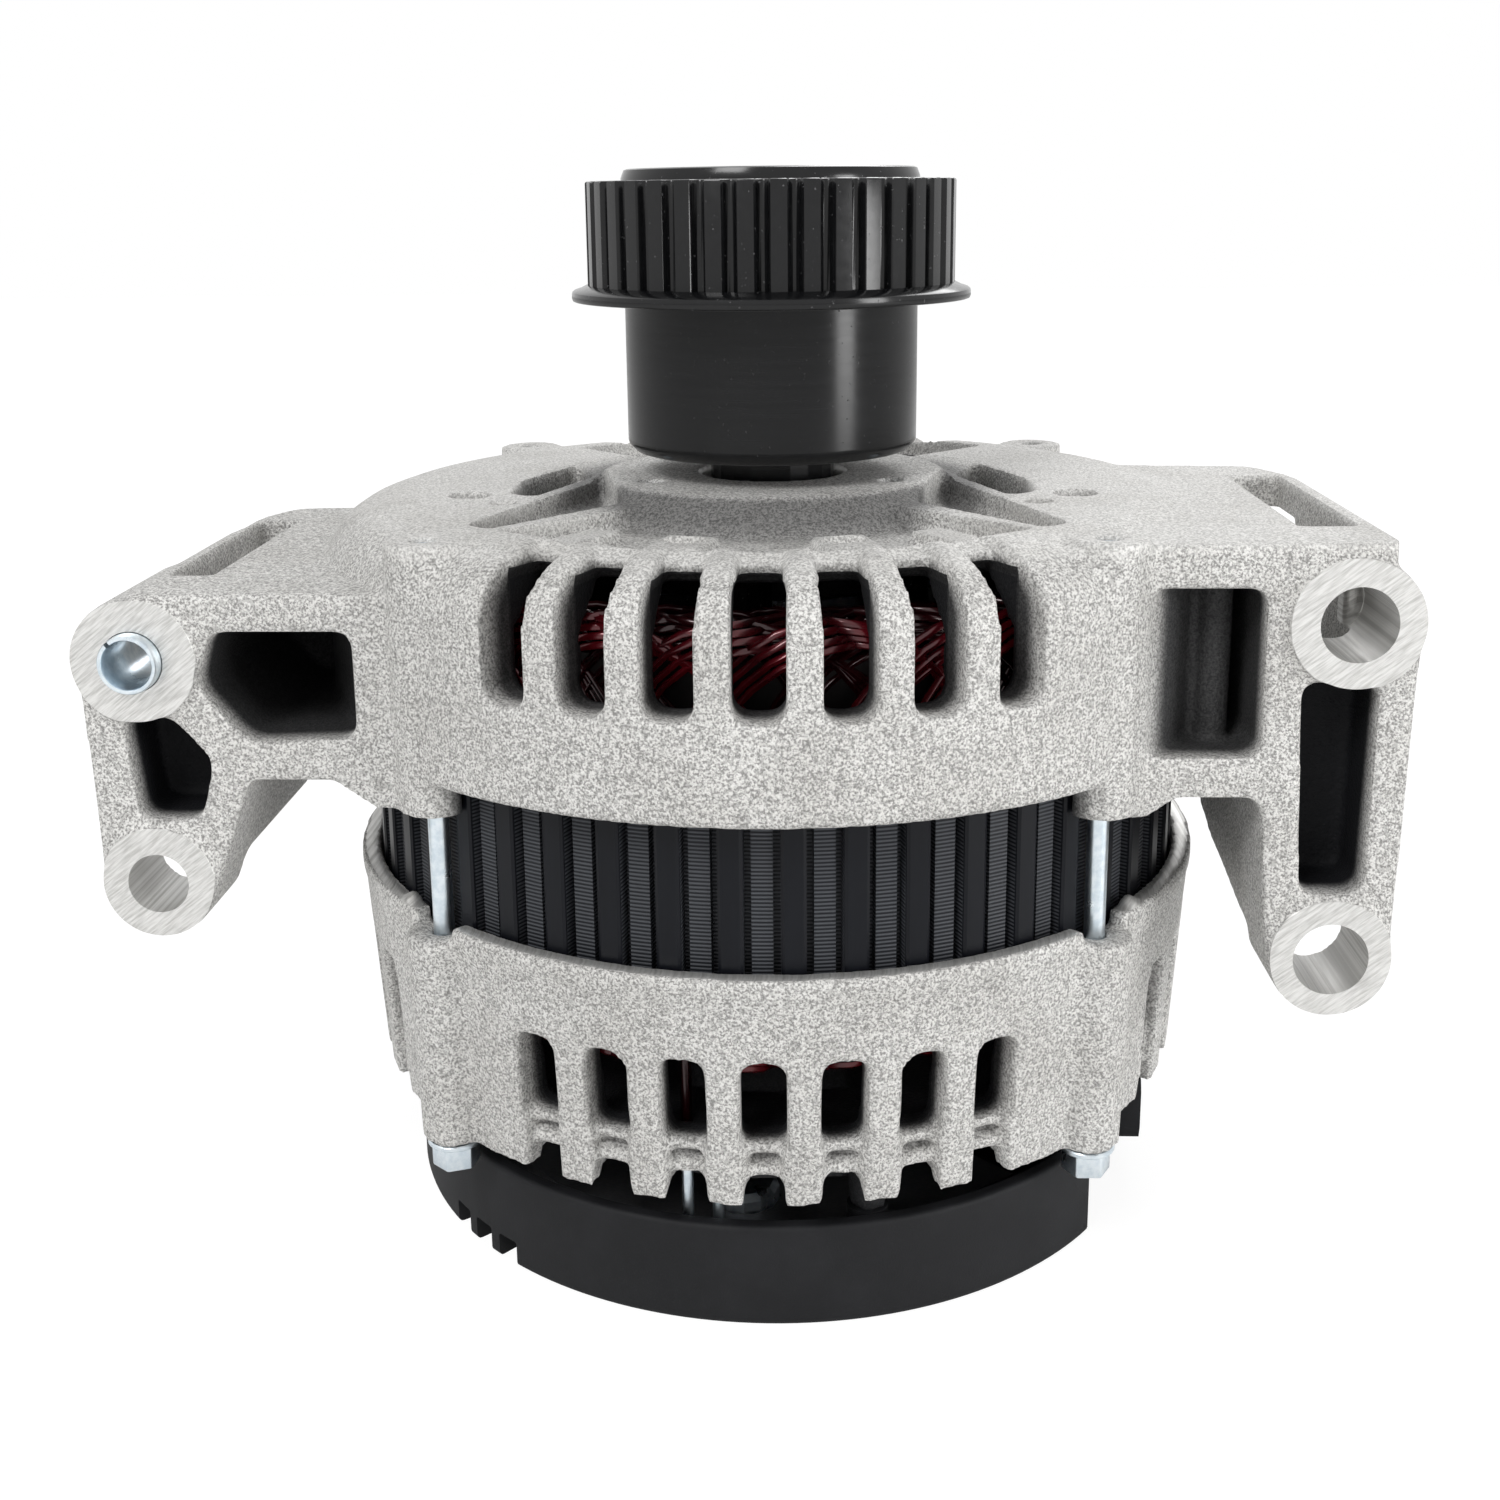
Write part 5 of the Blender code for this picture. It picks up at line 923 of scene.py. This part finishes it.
def toothOutline(settings):
    outline = []
    pitch = 360.0 / settings["teeth"]
    half = settings["grooveWidth"] / 2 / settings["outer"] * 180 / pi
    outer, floor = settings["outer"], settings["outer"] - settings["depth"]
    groove = ((outer - 0.25 * mm, -0.98), (outer - 1.0 * mm, -0.86), (floor + 0.25 * mm, -0.62),
              (floor, -0.25), (floor, 0.25), (floor + 0.25 * mm, 0.62), (outer - 1.0 * mm, 0.86),
              (outer - 0.25 * mm, 0.98))
    for i in range(settings["teeth"]):
        middle = settings["firstGroove"] + pitch * i
        outline += [polar(radius, middle + half * share) for radius, share in groove]
        outline += [polar(outer, middle + half + (pitch - 2 * half) * share) for share in (0.06, 0.5, 0.94)]
    return outline


def makePulley():
    settings = pulleyLook
    ring = plate(toothOutline(settings), settings["low"] - 0.5 * mm, settings["high"])
    top = [e for e in ring.edges if all(abs(v.co.z - settings["high"]) < 1e-7 for v in e.verts)]
    bmesh.ops.bevel(ring, geom=top, offset=settings["edge"], offset_type="OFFSET", affect="EDGES", segments=2,
                    profile=0.5, material=-1, clamp_overlap=True)
    teeth = newPiece("pulley_teeth", ring, pulleyTeeth, None)
    carve(teeth, toolFrom(rod(settings["bore"], settings["low"] - 3 * mm, settings["high"] + 3 * mm, 128)))
    shape = bmesh.new()
    shape.from_mesh(teeth.data)
    bpy.data.objects.remove(teeth)
    body = turned([(radius * mm, z * mm) for radius, z in settings["profile"]])
    piece = newPiece("freewheel_pulley", joined([shape, body]), pulleyBody, "pulley", 30)
    piece.data.materials.append(pulleyTeeth)
    for face in piece.data.polygons:
        if face.center.z > settings["toothedFrom"]:
            face.material_index = 1
    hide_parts("pulley_ring")
    return piece


pulleyPiece = makePulley()
print("pulley made,", len(pulleyPiece.data.polygons), "faces")


# rear cover

coverLook = {
    "radius": 68.0 * mm, "wall": 2.2 * mm, "height": 17.5 * mm, "flat": 54.8 * mm, "edge": 0.9 * mm,
    "louvreAngle": -136.5, "louvreWidth": 4.6 * mm, "louvreFin": 2.2 * mm, "louvreHeight": 4.5 * mm,
    "screwRadius": 62.2 * mm, "screwAngles": (75.0, 190.0, 285.0), "post": 3.3 * mm, "hole": 1.8 * mm,
    "headSeat": 3.0 * mm, "socket": ((50.4 * mm, 57 * mm), (-20.3 * mm, 4.3 * mm), (5.3 * mm, 21 * mm)),
    "studRadius": 5.5 * mm, "studPlace": (-12 * mm, 15.3 * mm),
}


def coverOutline(radius, flat):
    reach = atan2(sqrt(radius ** 2 - flat ** 2), flat) * 180 / pi
    count = 150
    return [polar(radius, reach + (360.0 - 2 * reach) * i / count) for i in range(count + 1)]


def louvres(settings):
    gaps = []
    half, reach = settings["louvreWidth"] / 2, settings["radius"]
    for i in range(3):
        across = (settings["louvreWidth"] + settings["louvreFin"]) / reach * 180 / pi * (i - 1)
        gap = block((reach - 9 * mm, reach + 5 * mm), (-half, half), (-1 * mm, settings["louvreHeight"]))
        gaps.append(spunTo(bevelled(gap, 0.5 * mm), settings["louvreAngle"] + across))
    return gaps


def makeCover():
    settings = coverLook
    radius, flat, wall, height = (settings[key] for key in ("radius", "flat", "wall", "height"))
    outer = bevelled(plate(coverOutline(radius, flat), 0.0, height), settings["edge"], 3, 60)
    cover = newPiece("rear_cover_shell", outer, coverPlastic)
    carve(cover, toolFrom(plate(coverOutline(radius - wall, flat - wall), wall, height + 5 * mm)))
    places = [polar(settings["screwRadius"], angle) for angle in settings["screwAngles"]]
    for x, y in places:
        carve(cover, toolFrom(shifted(rod(settings["post"], wall / 2, height, 32), x, y)), "UNION")
    for size, top in ((settings["hole"], height + 1 * mm), (settings["headSeat"], wall)):
        carve(cover, toolFrom(joined([shifted(rod(size, -1 * mm, top, 32), x, y) for x, y in places])))
    carve(cover, toolFrom(joined(louvres(settings))))
    studX, studZ = settings["studPlace"]
    stud = shifted(alongY(rod(settings["studRadius"], 0, 20 * mm, 40), 56 * mm), x=studX, z=studZ)
    carve(cover, toolFrom(joined([block(*settings["socket"]), stud])))
    cover.data.shade_smooth()
    cover.data.set_sharp_from_angle(angle=radians(35))
    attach(cover, "housing")
    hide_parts("rear_cover")
    return cover


coverPiece = makeCover()
print("rear cover made")


# bolts and sleeve

boltLook = {
    "shank": 1.7 * mm, "headWidth": 7.0 * mm, "low": 19.3 * mm, "seat": 24.3 * mm, "tip": 124.1 * mm,
    "spread": 52.11 * mm, "edge": 0.35 * mm, "washer": 4.6 * mm, "washerThickness": 1.0 * mm,
}


def makeBolt(name, x, y, settings, node):
    seat = settings["seat"]
    head = bevelled(rod(settings["headWidth"] / sqrt(3), settings["low"], seat, 6), settings["edge"], 2)
    spunTo(head, 10 + x * 400)  # each head stands at its own angle
    shank = rod(settings["shank"], seat - 0.2 * mm, settings["tip"], 32)
    washer = rod(settings["washer"], seat - settings["washerThickness"], seat - 0.05 * mm, 40)
    piece = newPiece(name, shifted(joined([head, shank, bevelled(washer, 0.2 * mm, 1)]), x, y), zincFinish)
    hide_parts(node)
    return piece


spread = boltLook["spread"]
for number, (x, y) in enumerate(((-1, -1), (1, -1), (1, 1), (-1, 1)), 1):
    makeBolt("cased_bolt_%d" % number, x * spread, y * spread, boltLook, "through_bolt_%d" % number)

sleeveLook = {
    "outer": 4.75 * mm, "inner": 3.9 * mm, "front": -56.5 * mm, "length": 17.0 * mm, "slot": 0.7 * mm,
    "edge": 0.35 * mm, "place": (-98.4 * mm, 106 * mm), "slotTurn": -40,
}


def makeSleeve():
    settings = sleeveLook
    outer, inner, edge, length = (settings[key] for key in ("outer", "inner", "edge", "length"))
    x, z = settings["place"]
    tube = turned([(outer, length - edge), (outer, edge), (outer - edge * 0.6, 0), (inner + edge * 0.4, 0),
                   (inner, edge * 0.6), (inner, length), (outer - edge, length)], 96)
    sleeve = newPiece("split_sleeve", shifted(alongY(tube, settings["front"]), x=x, z=z), zincFinish, None)
    half = settings["slot"] / 2
    turn = Matrix.Translation((x, 0, z)) @ Matrix.Rotation(radians(settings["slotTurn"]), 4, "Y")
    carve(sleeve, toolFrom(placed(block((-half, half), (-60 * mm, -30 * mm), (0, 12 * mm)), turn)))
    sleeve.data.materials.clear()
    sleeve.data.materials.append(zincFinish)
    sleeve.data.shade_smooth()
    sleeve.data.set_sharp_from_angle(angle=radians(35))
    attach(sleeve, "sleeve")
    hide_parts("adjusting_sleeve")


makeSleeve()
print("bolts and sleeve made")


# finishes on the solids that stay as they are

nodesOf = (
    (fanBlack, ("front_fan", "rear_fan")),
    (ironFinish, ("front_claw_pole", "rear_claw_pole", "rotor_yoke")),
    (copperFinish, ("field_coil", "slip_ring_lower", "slip_ring_upper")),
    (innerPlastic, ("slip_ring_carrier", "brush_holder", "voltage_regulator", "terminal_board",
                    "pulley_end_cap")),
    (coverPlastic, ("plug_socket",)),
    (sinkShadeFinish, ("positive_heat_sink", "negative_heat_sink")),
    (carbonFinish, ("brush_lower", "brush_upper")),
    (zincFinish, ("output_stud", "output_nut", "bearing_retainer")),
    # the hub and upper bush get the pulley's black oxide, which also serves as painted shade in the gap under
    # the pulley
    (pulleyBody, ("pulley_hub", "pulley_bush_upper")),
)
finishOf = {name: finish for finish, names in nodesOf for name in names}
for name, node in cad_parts.items():
    chosen = finishOf.get(name)
    if chosen is None:
        chosen = zincFinish if ("screw" in name or "bolt" in name or "diode" in name) else steelFinish
    node.data.materials.clear()
    node.data.materials.append(chosen)
print("finishes set on the solids")
